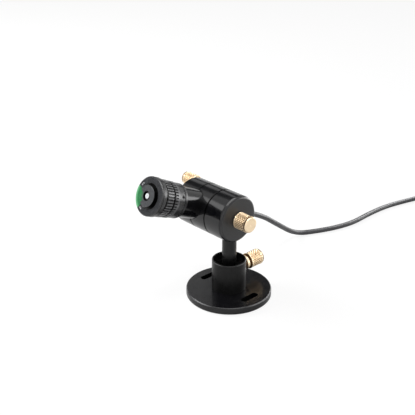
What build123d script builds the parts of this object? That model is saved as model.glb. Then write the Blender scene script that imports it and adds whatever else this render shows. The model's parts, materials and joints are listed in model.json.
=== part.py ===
from build123d import *
import os
from math import cos, pi, radians, sin, sqrt, tan

# Laser diode module held in a swivel clamp on a round base, in millimetres.
# The origin is the centre of the base's underside and +Z is up. +X runs along the swivel axis
# towards the tilt knob, +Y points at the post knob, and the beam leaves towards -Y, upwards.

# Fits
running_clearance = 0.05
seat_clearance = 0.03
face_gap = 0.05
tip_gap = 0.3

# Base and post socket
base_diameter = 60.0
base_thickness = 5.0
base_chamfer = 0.6
slot_spacing = 41.0
slot_length = 14.5
slot_width = 4.5
socket_diameter = 24.0
socket_height = 22.0
socket_chamfer = 0.4
rim_wall = 1.2
rim_depth = 5.6
socket_screw_count = 3
socket_screw_circle = 17.0
socket_screw_angle = 30.0
socket_screw_diameter = 3.0
socket_screw_head = 5.6
socket_screw_grip = 6.0

# Post
post_diameter = 10.0
post_chamfer = 0.5
post_spigot_diameter = 6.0
post_spigot_length = 5.5
post_top_wall = 2.4

# Swivel block and the two jaws that hold the laser
swivel_height = 59.5
jaw_wall = 6.0
swivel_chamfer = 1.0
seam_chamfer = 0.25
block_reach_left = 7.5
block_reach_right = 8.4
block_rounding = 2.0
washer_thickness = 0.4
washer_inset = 0.8
inner_jaw_width = 14.4
outer_jaw_width = 16.0
jaw_gap = 0.5
jaw_screw_wall = 0.8
jaw_screw_diameter = 3.0
jaw_screw_head = 5.5
jaw_screw_head_height = 3.0
jaw_screw_grip = 8.0
jaw_screw_hex = 2.5
jaw_screw_hex_depth = 1.5

# Thumb screws
post_knob_height = 13.5
knob_diameter = 11.5
knob_chamfer = 0.9
knob_back_chamfer = 0.45
post_screw_diameter = 4.0
post_collar_diameter = 10.4
post_collar_length = 4.9
post_collar_flange = 1.8
post_neck_depth = 1.2
post_knob_length = 13.1
tilt_screw_diameter = 5.0
tilt_screw_grip = 3.0
tilt_collar_diameter = 8.8
tilt_collar_length = 0.4
tilt_knob_length = 11.2
clamp_knob_diameter = 9.5
clamp_collar_diameter = 6.6
clamp_collar_length = 0.4
clamp_knob_length = 11.6

# Laser barrel, measured along the beam from the swivel axis
beam_tilt = 23.4
barrel_diameter = 21.0
barrel_wall = 1.9
barrel_ahead = 36.2
barrel_behind = 24.0
cap_flange = 2.5
cap_spigot = 5.0
cap_chamfer = 0.8
gland_thread_diameter = 6.4
gland_hex_diameter = 10.0
gland_hex_length = 3.5
gland_boot_length = 7.0
gland_tip_wall = 0.9

# Diode, driver and collimator inside the barrel
mount_length = 12.0
mount_back = -0.5
diode_flange_diameter = 5.6
diode_flange_thickness = 1.2
diode_cap_diameter = 3.6
diode_cap_length = 2.4
diode_pocket_depth = 6.0
pin_diameter = 0.46
pin_circle = 2.0
pin_count = 3
pin_hole_diameter = 3.2
pin_end_gap = 0.5
collimator_length = 12.0
collimator_lens_diameter = 6.4
collimator_lens_edge = 1.6
collimator_lens_bulge = 0.9
collimator_stop = 2.0
collimator_opening = 5.0
board_length = 16.0
board_width = 14.0
board_thickness = 1.2
chip_length = 6.0
chip_width = 5.0
chip_height = 1.6
chip_inset = 4.5
capacitor_diameter = 5.0
capacitor_height = 5.0
capacitor_inset = 3.4

# Adjusting head, in order from the clamp to the front
sleeve_start = 31.0
sleeve_diameter = 23.8
sleeve_length = 7.2
sleeve_groove_width = 0.8
sleeve_groove_depth = 0.45
sleeve_band = 2.0
head_screw_count = 3
head_screw_diameter = 2.5
head_screw_recess = 0.4
head_screw_angle = 25.5
head_screw_inset = 2.8
optics_tube_diameter = 20.0
optics_tube_bore = 15.0
optics_spigot = 10.0
lock_ring_diameter = 24.6
lock_ring_length = 4.3
lock_tooth_length = 2.4
ring_groove = 1.3
focus_ring_diameter = 25.0
focus_ring_length = 5.6
ring_chamfer = 0.3
tooth_count = 40
tooth_gap_width = 0.95
tooth_depth = 0.55
bezel_groove = 1.2
bezel_diameter = 26.2
bezel_length = 4.4
bezel_chamfer = 0.5
bezel_spigot = 4.0
boss_base_diameter = 17.2
boss_diameter = 14.0
boss_height = 2.0
aperture_diameter = 5.0
aperture_lip = 0.8
aperture_flare = 0.4
window_diameter = 6.6
window_thickness = 1.0
line_lens_length = 5.4
line_lens_roof = 1.6
retainer_length = 1.6
retainer_wall = 1.0

# Cable, lying on the surface that the base stands on
cable_diameter = 4.0
cable_gap = 0.4
cable_tail = 20.0
cable_straight = 22.0
arc_share = 0.45
lead_point_count = 8
coil_diameter = 44.6
coil_turns_wide = 3
coil_layers = 2
coil_turns = 5.5
coil_chamfer = 1.0
coil_skin = 0.2
tie_thickness = 0.5
tie_width = 6.0
tie_clearance = 0.4
plug_nut_length = 12.0
plug_nut_flutes = 18
plug_flute_diameter = 1.4
plug_body_diameter = 10.0
plug_body_length = 20.0
plug_neck_length = 9.0
plug_neck_wall = 1.0
plug_clearance = 1.0
plug_insert_diameter = 8.0
plug_insert_recess = 4.0
plug_pin_count = 4
plug_pin_diameter = 1.0
plug_pin_circle = 4.6
plug_pin_length = 3.0

# Places that follow from the sizes
socket_radius = socket_diameter / 2
post_radius = post_diameter / 2
barrel_radius = barrel_diameter / 2
barrel_seat = barrel_radius + running_clearance
swivel_diameter = barrel_diameter + 2 * jaw_wall
swivel_radius = swivel_diameter / 2
jaw_screw_bore = jaw_screw_diameter / 2 + running_clearance
jaw_screw_offset = barrel_seat + jaw_screw_wall + jaw_screw_bore
barrel_bore = barrel_radius - barrel_wall
cable_radius = cable_diameter / 2
socket_top = base_thickness + socket_height
post_top = swivel_height - tilt_screw_diameter / 2 - post_top_wall
post_seat = post_top - post_spigot_length
block_right = block_reach_right
block_left = -block_reach_left
block_width = block_right - block_left
inner_jaw_right = block_left - washer_thickness - face_gap
inner_jaw_left = inner_jaw_right - inner_jaw_width
beam_x = inner_jaw_left - jaw_gap / 2
outer_jaw_right = inner_jaw_left - jaw_gap
outer_jaw_left = outer_jaw_right - outer_jaw_width
sleeve_end = sleeve_start + sleeve_length
lock_ring_start = sleeve_end + face_gap
lock_ring_end = lock_ring_start + lock_ring_length
focus_ring_start = lock_ring_end + ring_groove
focus_ring_end = focus_ring_start + focus_ring_length
bezel_start = focus_ring_end + bezel_groove
bezel_front = bezel_start + bezel_length
boss_front = bezel_front + boss_height
mount_front = mount_back + mount_length
collimator_front = mount_front + collimator_length
cap_back = -barrel_behind - cap_flange
gland_hex_back = cap_back - gland_hex_length
gland_back = gland_hex_back - gland_boot_length
window_back = boss_front - aperture_lip - window_thickness
line_lens_back = window_back - line_lens_length

# Planes: the beam plane's normal is the beam, and its X axis is the swivel axis
beam = Vector(0, -cos(radians(beam_tilt)), sin(radians(beam_tilt)))
across_beam = Vector(0, sin(radians(beam_tilt)), cos(radians(beam_tilt)))
beam_centre = Vector(beam_x, 0, swivel_height)
beam_plane = Plane(origin=beam_centre, x_dir=(1, 0, 0), z_dir=beam)
clamp_screw_plane = Plane(
    origin=Vector(outer_jaw_left, 0, swivel_height) + across_beam * jaw_screw_offset,
    x_dir=(0, 1, 0),
    z_dir=(-1, 0, 0),
)
jaw_screw_plane = Plane(
    origin=Vector(outer_jaw_left, 0, swivel_height) - across_beam * jaw_screw_offset,
    x_dir=(0, 1, 0),
    z_dir=(-1, 0, 0),
)
post_screw_plane = Plane(
    origin=(0, socket_radius + face_gap, base_thickness + post_knob_height),
    x_dir=(1, 0, 0),
    z_dir=(0, 1, 0),
)


def swivel_plane(x):
    """Plane across the swivel axis at x, looking along +X."""
    return Plane(origin=(x, 0, swivel_height), x_dir=(0, 1, 0), z_dir=(1, 0, 0))


def turned(axis_plane, outline):
    """Solid turned about the plane's normal from (radius, height) corners."""
    profile_plane = Plane(origin=axis_plane.origin, x_dir=axis_plane.x_dir, z_dir=-axis_plane.y_dir)
    with BuildPart() as piece:
        with BuildSketch(profile_plane):
            with BuildLine():
                Polyline(*outline, close=True)
            make_face()
        revolve(axis=Axis(axis_plane.origin, axis_plane.z_dir))
    return piece


def ring_outline(outer_radius, inner_radius, start, end):
    """Corners of a plain ring."""
    return [(inner_radius, start), (outer_radius, start), (outer_radius, end), (inner_radius, end)]


def chamfered_outline(outer_radius, inner_radius, start, end, edge):
    """Corners of a ring with both outer edges broken."""
    return [
        (inner_radius, start),
        (outer_radius - edge, start),
        (outer_radius, start + edge),
        (outer_radius, end - edge),
        (outer_radius - edge, end),
        (inner_radius, end),
    ]


def thumb_screw(seat, shank_radius, shank_length, collar, head_radius, head_length):
    """Turned thumb screw whose collar sits on the seat plane and whose head points outwards."""
    head_start = collar[-1][1]
    head_end = head_start + head_length
    outline = [
        (0, -shank_length),
        (shank_radius - post_chamfer, -shank_length),
        (shank_radius, -shank_length + post_chamfer),
        (shank_radius, 0),
        *collar,
        (head_radius - knob_back_chamfer, head_start),
        (head_radius, head_start + knob_back_chamfer),
        (head_radius, head_end - knob_chamfer),
        (head_radius - knob_chamfer, head_end),
        (0, head_end),
    ]
    return turned(seat, outline)


# Base plate: a round disc with two straight slots and countersunk holes from below
with BuildPart() as base_plate:
    with BuildSketch():
        Circle(base_diameter / 2)
        with Locations((-slot_spacing / 2, 0), (slot_spacing / 2, 0)):
            SlotOverall(slot_length, slot_width, rotation=90, mode=Mode.SUBTRACT)
    extrude(amount=base_thickness)
    chamfer(base_plate.edges().filter_by(GeomType.CIRCLE).group_by(SortBy.RADIUS)[-1], length=base_chamfer)
    with Locations(Plane.XY.rotated((180, 0, 0))):
        with PolarLocations(socket_screw_circle / 2, socket_screw_count, start_angle=socket_screw_angle):
            CounterSinkHole(
                radius=socket_screw_diameter / 2 + seat_clearance,
                counter_sink_radius=socket_screw_head / 2 + seat_clearance,
                depth=base_thickness,
            )

# Post socket: a thick tube with a thin rim round a recessed top
post_bore = post_radius + running_clearance
with BuildPart() as post_socket:
    add(
        turned(
            Plane.XY,
            [
                (post_bore, base_thickness),
                (socket_radius, base_thickness),
                (socket_radius, socket_top - socket_chamfer),
                (socket_radius - socket_chamfer, socket_top),
                (socket_radius - rim_wall, socket_top),
                (socket_radius - rim_wall, socket_top - rim_depth),
                (post_bore, socket_top - rim_depth),
            ],
        ).part
    )
    with BuildSketch(post_screw_plane):
        Circle(post_screw_diameter / 2 + running_clearance)
    extrude(amount=-(socket_radius - post_radius), mode=Mode.SUBTRACT)
    with BuildSketch(Plane.XY.offset(base_thickness).rotated((180, 0, 0))):
        with PolarLocations(socket_screw_circle / 2, socket_screw_count, start_angle=socket_screw_angle):
            Circle(socket_screw_diameter / 2 + seat_clearance)
    extrude(amount=-(socket_screw_grip + tip_gap), mode=Mode.SUBTRACT)

# Countersunk screws that hold the socket to the plate from below
screw_radius = socket_screw_diameter / 2
head_radius = socket_screw_head / 2
with BuildPart() as socket_screws:
    under_plane = Plane.XY.rotated((180, 0, 0))
    with Locations(under_plane):
        with PolarLocations(socket_screw_circle / 2, socket_screw_count, start_angle=socket_screw_angle):
            add(
                turned(
                    Plane.XY,
                    [
                        (0, 0),
                        (head_radius, 0),
                        (screw_radius, -(head_radius - screw_radius)),
                        (screw_radius, -base_thickness - socket_screw_grip),
                        (0, -base_thickness - socket_screw_grip),
                    ],
                ).part
            )

# Post: a plain rod with a threaded spigot on top
post = turned(
    Plane.XY,
    [
        (0, base_thickness),
        (post_radius - post_chamfer, base_thickness),
        (post_radius, base_thickness + post_chamfer),
        (post_radius, post_seat - face_gap),
        (post_spigot_diameter / 2, post_seat - face_gap),
        (post_spigot_diameter / 2, post_top - tip_gap),
        (0, post_top - tip_gap),
    ],
)

# Thumb screw that holds the post, with a necked collar
post_collar_radius = post_collar_diameter / 2
post_neck_radius = post_collar_radius - post_neck_depth
post_lock_screw = thumb_screw(
    post_screw_plane,
    post_screw_diameter / 2,
    socket_radius + face_gap - post_radius - running_clearance,
    [
        (post_collar_radius, 0),
        (post_collar_radius, post_collar_flange),
        (post_neck_radius, post_collar_flange + post_neck_depth),
        (post_neck_radius, post_collar_length - post_neck_depth),
        (post_collar_radius, post_collar_length),
    ],
    knob_diameter / 2,
    post_knob_length,
)

# Swivel block: the disc over the post, bored from below and along the swivel axis
with BuildPart() as swivel_block:
    with BuildSketch(swivel_plane(block_left)):
        Circle(swivel_radius)
    extrude(amount=block_width)
    ends = swivel_block.edges().filter_by(GeomType.CIRCLE).sort_by(Axis.X)
    fillet(ends[-1], radius=block_rounding)
    chamfer(swivel_block.edges().filter_by(GeomType.CIRCLE).sort_by(Axis.X)[0], length=seam_chamfer)
    with BuildSketch(swivel_plane(block_left)):
        Circle(tilt_screw_diameter / 2 + running_clearance)
    extrude(amount=block_width, mode=Mode.SUBTRACT)
    with BuildSketch(Plane.XY.offset(post_seat)):
        Circle(post_bore)
    extrude(amount=-(post_seat - swivel_height + swivel_diameter), mode=Mode.SUBTRACT)
    with BuildSketch(Plane.XY.offset(post_seat)):
        Circle(post_spigot_diameter / 2 + running_clearance)
    extrude(amount=post_spigot_length, mode=Mode.SUBTRACT)

# Friction washer between the swivel block and the inner jaw
with BuildPart() as tilt_washer:
    with BuildSketch(swivel_plane(block_left - washer_thickness)):
        Circle(swivel_radius - washer_inset)
        Circle(tilt_screw_diameter / 2 + running_clearance, mode=Mode.SUBTRACT)
    extrude(amount=washer_thickness)

# Thumb screw that locks the tilt: it passes the block and grips the inner jaw
tilt_screw_length = block_width + washer_thickness + tilt_screw_grip
tilt_lock_screw = thumb_screw(
    swivel_plane(block_right + face_gap),
    tilt_screw_diameter / 2,
    tilt_screw_length,
    [(tilt_collar_diameter / 2, 0), (tilt_collar_diameter / 2, tilt_collar_length)],
    knob_diameter / 2,
    tilt_knob_length,
)

# Inner jaw: the middle disc, with half of the laser's bore in its outer face
with BuildPart() as inner_jaw:
    with BuildSketch(swivel_plane(inner_jaw_left)):
        Circle(swivel_radius)
    extrude(amount=inner_jaw_width)
    chamfer(inner_jaw.edges().filter_by(GeomType.CIRCLE).group_by(Axis.X)[0], length=seam_chamfer)
    chamfer(inner_jaw.edges().filter_by(GeomType.CIRCLE).group_by(Axis.X)[-1], length=seam_chamfer)
    with BuildSketch(beam_plane):
        Circle(barrel_seat)
    extrude(amount=swivel_diameter, both=True, mode=Mode.SUBTRACT)
    with BuildSketch(swivel_plane(inner_jaw_right)):
        Circle(tilt_screw_diameter / 2 + running_clearance)
    extrude(amount=-(tilt_screw_grip + tip_gap), mode=Mode.SUBTRACT)
    for screw_plane in (clamp_screw_plane, jaw_screw_plane):
        with BuildSketch(screw_plane.offset(outer_jaw_left - inner_jaw_left)):
            Circle(jaw_screw_bore)
        extrude(amount=-(jaw_screw_grip + tip_gap), mode=Mode.SUBTRACT)

# Outer jaw: the end disc, with the other half of the bore
with BuildPart() as outer_jaw:
    with BuildSketch(swivel_plane(outer_jaw_left)):
        Circle(swivel_radius)
    extrude(amount=outer_jaw_width)
    chamfer(outer_jaw.edges().filter_by(GeomType.CIRCLE).group_by(Axis.X)[0], length=swivel_chamfer)
    chamfer(outer_jaw.edges().filter_by(GeomType.CIRCLE).group_by(Axis.X)[-1], length=seam_chamfer)
    with BuildSketch(beam_plane):
        Circle(barrel_seat)
    extrude(amount=swivel_diameter, both=True, mode=Mode.SUBTRACT)
    for screw_plane in (clamp_screw_plane, jaw_screw_plane):
        with BuildSketch(screw_plane):
            Circle(jaw_screw_bore)
        extrude(amount=-outer_jaw_width, mode=Mode.SUBTRACT)
    with BuildSketch(jaw_screw_plane):
        Circle(jaw_screw_head / 2 + seat_clearance)
    extrude(amount=-jaw_screw_head_height, mode=Mode.SUBTRACT)

# Cap screw that holds the jaws together below the laser
jaw_screw_reach = outer_jaw_width + jaw_gap + jaw_screw_grip
with BuildPart() as jaw_screw:
    add(
        turned(
            jaw_screw_plane,
            [
                (0, 0),
                (jaw_screw_head / 2, 0),
                (jaw_screw_head / 2, -jaw_screw_head_height),
                (jaw_screw_diameter / 2, -jaw_screw_head_height),
                (jaw_screw_diameter / 2, -jaw_screw_reach),
                (0, -jaw_screw_reach),
            ],
        ).part
    )
    with BuildSketch(jaw_screw_plane):
        RegularPolygon(jaw_screw_hex / 2, 6, major_radius=False)
    extrude(amount=-jaw_screw_hex_depth, mode=Mode.SUBTRACT)

# Thumb screw that closes the jaws above the laser
clamp_lock_screw = thumb_screw(
    clamp_screw_plane.offset(face_gap),
    jaw_screw_diameter / 2,
    jaw_screw_reach,
    [(clamp_collar_diameter / 2, 0), (clamp_collar_diameter / 2, clamp_collar_length)],
    clamp_knob_diameter / 2,
    clamp_knob_length,
)

# Barrel and rear cap
barrel = turned(beam_plane, ring_outline(barrel_radius, barrel_bore, -barrel_behind, barrel_ahead))
gland_thread = gland_thread_diameter / 2
rear_cap = turned(
    beam_plane,
    [
        (gland_thread + seat_clearance, cap_back),
        (barrel_radius - cap_chamfer, cap_back),
        (barrel_radius, cap_back + cap_chamfer),
        (barrel_radius, -barrel_behind),
        (barrel_bore - seat_clearance, -barrel_behind),
        (barrel_bore - seat_clearance, -barrel_behind + cap_spigot),
        (gland_thread + seat_clearance, -barrel_behind + cap_spigot),
    ],
)

# Cable gland: a hexagon on the cap and a tapered boot round the cable
cable_bore = cable_radius + seat_clearance
with BuildPart() as cable_gland:
    add(
        turned(
            beam_plane,
            [
                (cable_bore, gland_back),
                (cable_radius + gland_tip_wall, gland_back),
                (gland_hex_diameter / 2 * cos(pi / 6) - gland_tip_wall, gland_hex_back),
                (gland_thread, gland_hex_back),
                (gland_thread, -barrel_behind + cap_spigot),
                (cable_bore, -barrel_behind + cap_spigot),
            ],
        ).part
    )
    with BuildSketch(beam_plane.offset(gland_hex_back)):
        RegularPolygon(gland_hex_diameter / 2, 6)
        Circle(cable_bore, mode=Mode.SUBTRACT)
    extrude(amount=gland_hex_length)

# End of the cable inside the gland
cable_inner = turned(
    beam_plane,
    ring_outline(cable_radius, 0, gland_back, gland_back + cable_tail),
)

# Diode mount: a thick disc that carries the diode and fills the barrel
mount_radius = barrel_bore - seat_clearance
pocket_radius = diode_flange_diameter / 2 + seat_clearance
pocket_floor = mount_front - diode_pocket_depth
diode_mount = turned(
    beam_plane,
    [
        (pin_hole_diameter / 2, mount_back),
        (mount_radius, mount_back),
        (mount_radius, mount_front),
        (pocket_radius, mount_front),
        (pocket_radius, pocket_floor),
        (pin_hole_diameter / 2, pocket_floor),
    ],
)

# Laser diode: flange, cap and three pins
with BuildPart() as laser_diode:
    add(
        turned(
            beam_plane,
            [
                (0, pocket_floor),
                (diode_flange_diameter / 2, pocket_floor),
                (diode_flange_diameter / 2, pocket_floor + diode_flange_thickness),
                (diode_cap_diameter / 2, pocket_floor + diode_flange_thickness),
                (diode_cap_diameter / 2, pocket_floor + diode_flange_thickness + diode_cap_length),
                (0, pocket_floor + diode_flange_thickness + diode_cap_length),
            ],
        ).part
    )
    with BuildSketch(beam_plane.offset(pocket_floor)):
        with PolarLocations(pin_circle / 2, pin_count):
            Circle(pin_diameter / 2)
    extrude(amount=-(pocket_floor - mount_back - pin_end_gap))

# Collimator cell and its plano-convex lens
lens_radius = collimator_lens_diameter / 2
lens_seat = mount_front + collimator_stop
collimator_cell = turned(
    beam_plane,
    [
        (collimator_opening / 2, mount_front),
        (mount_radius, mount_front),
        (mount_radius, collimator_front),
        (lens_radius + seat_clearance, collimator_front),
        (lens_radius + seat_clearance, lens_seat),
        (collimator_opening / 2, lens_seat),
    ],
)
lens_profile_plane = Plane(origin=beam_centre, x_dir=(1, 0, 0), z_dir=-beam_plane.y_dir)
with BuildPart() as collimating_lens:
    with BuildSketch(lens_profile_plane):
        with BuildLine():
            edge_top = lens_seat + collimator_lens_edge
            crown = edge_top + collimator_lens_bulge
            Polyline((0, crown), (0, lens_seat), (lens_radius, lens_seat), (lens_radius, edge_top))
            RadiusArc(
                (lens_radius, edge_top),
                (0, crown),
                -(lens_radius**2 + collimator_lens_bulge**2) / (2 * collimator_lens_bulge),
            )
        make_face()
    revolve(axis=Axis(beam_centre, beam))

# Driver board behind the diode mount, with its chip and capacitor
board_back = mount_back - board_length
with BuildPart() as driver_board:
    with BuildSketch(beam_plane.offset(board_back)):
        Rectangle(board_width, board_thickness)
    extrude(amount=board_length)
board_top = Plane(
    origin=beam_centre + across_beam * (board_thickness / 2) + beam * board_back,
    x_dir=(1, 0, 0),
    z_dir=across_beam,
)
with BuildPart() as driver_chip:
    with BuildSketch(board_top):
        with Locations((0, -(board_length - chip_inset))):
            Rectangle(chip_width, chip_length)
    extrude(amount=chip_height)
with BuildPart() as driver_capacitor:
    with BuildSketch(board_top):
        with Locations((0, -capacitor_inset)):
            Circle(capacitor_diameter / 2)
    extrude(amount=capacitor_height)

# Head sleeve: a grooved band on the barrel's front, held by set screws
sleeve_radius = sleeve_diameter / 2
sleeve_bore = barrel_radius + seat_clearance
groove_back = sleeve_start + sleeve_band
head_screw_place = sleeve_end - head_screw_inset
with BuildPart() as head_sleeve:
    add(
        turned(
            beam_plane,
            [
                (sleeve_bore, sleeve_start),
                (sleeve_radius - ring_chamfer, sleeve_start),
                (sleeve_radius, sleeve_start + ring_chamfer),
                (sleeve_radius, groove_back),
                (sleeve_radius - sleeve_groove_depth, groove_back),
                (sleeve_radius - sleeve_groove_depth, groove_back + sleeve_groove_width),
                (sleeve_radius, groove_back + sleeve_groove_width),
                (sleeve_radius, sleeve_end),
                (sleeve_bore, sleeve_end),
            ],
        ).part
    )
    for index in range(head_screw_count):
        turn = radians(head_screw_angle + 360 / head_screw_count * index)
        outward = Vector(1, 0, 0) * cos(turn) + across_beam * sin(turn)
        with BuildSketch(Plane(origin=beam_centre + beam * head_screw_place, x_dir=beam, z_dir=outward)):
            Circle(head_screw_diameter / 2 + seat_clearance)
        extrude(amount=sleeve_radius, mode=Mode.SUBTRACT)

# Set screws that hold the head on the barrel
with BuildPart() as head_set_screws:
    for index in range(head_screw_count):
        turn = radians(head_screw_angle + 360 / head_screw_count * index)
        outward = Vector(1, 0, 0) * cos(turn) + across_beam * sin(turn)
        foot = beam_centre + beam * head_screw_place + outward * sleeve_bore
        with BuildSketch(Plane(origin=foot, x_dir=beam, z_dir=outward)):
            Circle(head_screw_diameter / 2)
        extrude(amount=sleeve_radius - sleeve_bore - head_screw_recess)

# Optics tube: a spigot in the barrel and a bearing for the two rings
tube_radius = optics_tube_diameter / 2
tube_bore = optics_tube_bore / 2
optics_tube = turned(
    beam_plane,
    [
        (tube_bore, barrel_ahead - optics_spigot),
        (barrel_bore - seat_clearance, barrel_ahead - optics_spigot),
        (barrel_bore - seat_clearance, barrel_ahead),
        (tube_radius, barrel_ahead),
        (tube_radius, bezel_start),
        (tube_bore, bezel_start),
    ],
)


def notched_ring(outer_radius, start, end, notch_start, notch_end):
    """Grip ring on the optics tube, with square notches round part of its width."""
    ring_bore = tube_radius + running_clearance
    with BuildPart() as ring:
        add(turned(beam_plane, chamfered_outline(outer_radius, ring_bore, start, end, ring_chamfer)).part)
        with BuildSketch(beam_plane.offset(notch_start)):
            with PolarLocations(outer_radius, tooth_count):
                Rectangle(2 * tooth_depth, tooth_gap_width)
        extrude(amount=notch_end - notch_start, mode=Mode.SUBTRACT)
    return ring


lock_ring = notched_ring(
    lock_ring_diameter / 2, lock_ring_start, lock_ring_end, lock_ring_end - lock_tooth_length, lock_ring_end
)
focus_ring = notched_ring(
    focus_ring_diameter / 2, focus_ring_start, focus_ring_end, focus_ring_start, focus_ring_end
)

# Front bezel: the wide ring, the boss and the aperture, with a spigot in the optics tube
bezel_radius = bezel_diameter / 2
window_seat = window_diameter / 2 + seat_clearance
aperture_radius = aperture_diameter / 2
front_bezel = turned(
    beam_plane,
    [
        (window_seat, bezel_start - bezel_spigot),
        (tube_bore - seat_clearance, bezel_start - bezel_spigot),
        (tube_bore - seat_clearance, bezel_start),
        (bezel_radius - bezel_chamfer, bezel_start),
        (bezel_radius, bezel_start + bezel_chamfer),
        (bezel_radius, bezel_front - bezel_chamfer),
        (bezel_radius - bezel_chamfer, bezel_front),
        (boss_base_diameter / 2, bezel_front),
        (boss_diameter / 2, boss_front),
        (aperture_radius + aperture_flare, boss_front),
        (aperture_radius, boss_front - aperture_flare),
        (aperture_radius, boss_front - aperture_lip),
        (window_seat, boss_front - aperture_lip),
    ],
)

# Window, line lens with its roof edge, and the ring that holds them
with BuildPart() as aperture_window:
    with BuildSketch(beam_plane.offset(window_back)):
        Circle(window_diameter / 2)
    extrude(amount=window_thickness)
with BuildPart() as line_lens:
    with BuildSketch(beam_plane.offset(line_lens_back)):
        Circle(window_diameter / 2)
    extrude(amount=line_lens_length)
    with BuildSketch(Plane(origin=beam_centre + beam * line_lens_back, x_dir=(1, 0, 0), z_dir=-across_beam)):
        with BuildLine():
            Polyline((0, 0), (window_diameter, 0), (window_diameter, line_lens_roof * 2), close=True)
        make_face()
        mirror(about=Plane.YZ)
    extrude(amount=window_diameter, both=True, mode=Mode.SUBTRACT)
lens_retainer = turned(
    beam_plane,
    ring_outline(
        window_diameter / 2,
        window_diameter / 2 - retainer_wall,
        line_lens_back - retainer_length,
        line_lens_back,
    ),
)

# Cable route: out of the gland, down to the table and along it towards the coil
cable_rest = cable_radius
coil_floor = tie_thickness + coil_skin + cable_radius
coil_middle = coil_diameter / 2
coil_outer_turn = coil_middle + cable_diameter * (coil_turns_wide - 1) / 2
coil_outside = coil_outer_turn + cable_radius + coil_skin
coil_inside = coil_middle - cable_diameter * coil_turns_wide / 2 - coil_skin
coil_lead = sqrt(coil_outside**2 - (coil_outer_turn - cable_radius) ** 2)
coil_height = cable_diameter * coil_layers + 2 * coil_skin
cable_exit = beam_centre + beam * (gland_back - cable_gap)
route = [
    cable_exit,
    cable_exit - beam * cable_straight,
    Vector(-22.8, 76, 21.5),
    Vector(-24.2, 99, cable_rest),
    Vector(-19.8, 121.5, cable_rest),
    Vector(-14.6, 139, cable_rest),
    Vector(-11.3, 158, cable_rest),
    Vector(-11.6, 180, cable_rest),
    Vector(-10.3, 204, cable_rest),
    Vector(-6.6, 225, cable_rest),
    Vector(0, 243, coil_floor),
    Vector(0, 260, coil_floor),
]


def cable_tube(points):
    """Tube along straight runs joined by arcs as large as the runs allow, with its length and radii."""
    runs = [after - before for before, after in zip(points, points[1:])]
    radii = []
    for before, after in zip(runs, runs[1:]):
        half_turn = radians(before.get_angle(after) / 2)
        radii.append(arc_share * min(before.length, after.length) / tan(half_turn))
    with BuildPart() as tube:
        with BuildLine() as path:
            FilletPolyline(*points, radius=radii)
        with BuildSketch(Plane(origin=points[0], z_dir=runs[0])):
            Circle(cable_radius)
        sweep()
    return tube, sum(edge.length for edge in path.edges()), radii


# The first stretch moves with the swivel block, and the rest lies still with the base
lead_route = route[:lead_point_count]
rest_route = route[lead_point_count:]
parting = (lead_route[-1] + rest_route[0]) * 0.5
parting_way = (rest_route[0] - lead_route[-1]).normalized()
cable_lead, lead_length, lead_radii = cable_tube(lead_route + [parting])
cable_run, run_length, run_radii = cable_tube([parting + parting_way * cable_gap] + rest_route)

# Coil of the spare cable: its outer shape, with the straight leads in and out
coil_centre = route[-1] + Vector(coil_outer_turn, coil_lead, 0)
coil_base = coil_centre.Z - cable_radius - coil_skin
upper_turn = coil_base + coil_height - coil_skin - cable_radius
plug_neck_radius = cable_radius + plug_neck_wall
tail_lead = sqrt(coil_outside**2 - (coil_outer_turn - plug_neck_radius) ** 2) + plug_clearance
tail_start = Vector(coil_centre.X + coil_outer_turn, coil_centre.Y - tail_lead, upper_turn)
coil_plane = Plane(origin=(coil_centre.X, coil_centre.Y, coil_base))
with BuildPart() as cable_coil:
    add(turned(coil_plane, chamfered_outline(coil_outside, coil_inside, 0, coil_height, coil_chamfer)).part)
    with BuildSketch(Plane(origin=route[-1], z_dir=(0, 1, 0))):
        Circle(cable_radius)
    extrude(amount=coil_lead)
    with BuildSketch(Plane(origin=tail_start, z_dir=(0, 1, 0))):
        Circle(cable_radius)
    extrude(amount=tail_lead)

# Tie round the coil's turns
tie_centre = Vector(coil_centre.X, coil_centre.Y + coil_middle, coil_base + coil_height / 2)
tie_plane = Plane(origin=tie_centre, x_dir=(0, 1, 0), z_dir=(1, 0, 0))
tie_inner_width = coil_outside - coil_inside + 2 * tie_clearance
with BuildPart() as coil_tie:
    with BuildSketch(tie_plane):
        Rectangle(tie_inner_width + 2 * tie_thickness, coil_height + 2 * tie_thickness)
        Rectangle(tie_inner_width, coil_height, mode=Mode.SUBTRACT)
    extrude(amount=tie_width / 2, both=True)

# Round plug at the cable's end: moulded body, fluted nut that rests on the table, and pin insert
plug_plane = Plane(origin=tail_start, x_dir=(1, 0, 0), z_dir=(0, -1, 0))
plug_body_end = plug_neck_length + plug_body_length
nut_start = plug_body_end - plug_nut_length / 2
nut_end = nut_start + plug_nut_length
nut_bore = plug_body_diameter / 2 + running_clearance
nut_radius = upper_turn
plug_body = turned(
    plug_plane,
    [
        (0, 0),
        (plug_neck_radius, 0),
        (plug_body_diameter / 2, plug_neck_length),
        (plug_body_diameter / 2, plug_body_end),
        (0, plug_body_end),
    ],
)
with BuildPart() as plug_nut:
    nut_outline = chamfered_outline(nut_radius, nut_bore, nut_start, nut_end, ring_chamfer)
    add(turned(plug_plane, nut_outline).part)
    with BuildSketch(plug_plane.offset(nut_start)):
        with PolarLocations(nut_radius, plug_nut_flutes, start_angle=180 / plug_nut_flutes):
            Circle(plug_flute_diameter / 2)
    extrude(amount=plug_nut_length, mode=Mode.SUBTRACT)
with BuildPart() as plug_insert:
    with BuildSketch(plug_plane.offset(plug_body_end)):
        Circle(plug_insert_diameter / 2)
    extrude(amount=plug_nut_length / 2 - plug_insert_recess)
    with BuildSketch(plug_plane.offset(plug_body_end + plug_nut_length / 2 - plug_insert_recess)):
        with PolarLocations(plug_pin_circle / 2, plug_pin_count):
            Circle(plug_pin_diameter / 2)
    extrude(amount=plug_pin_length)

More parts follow.
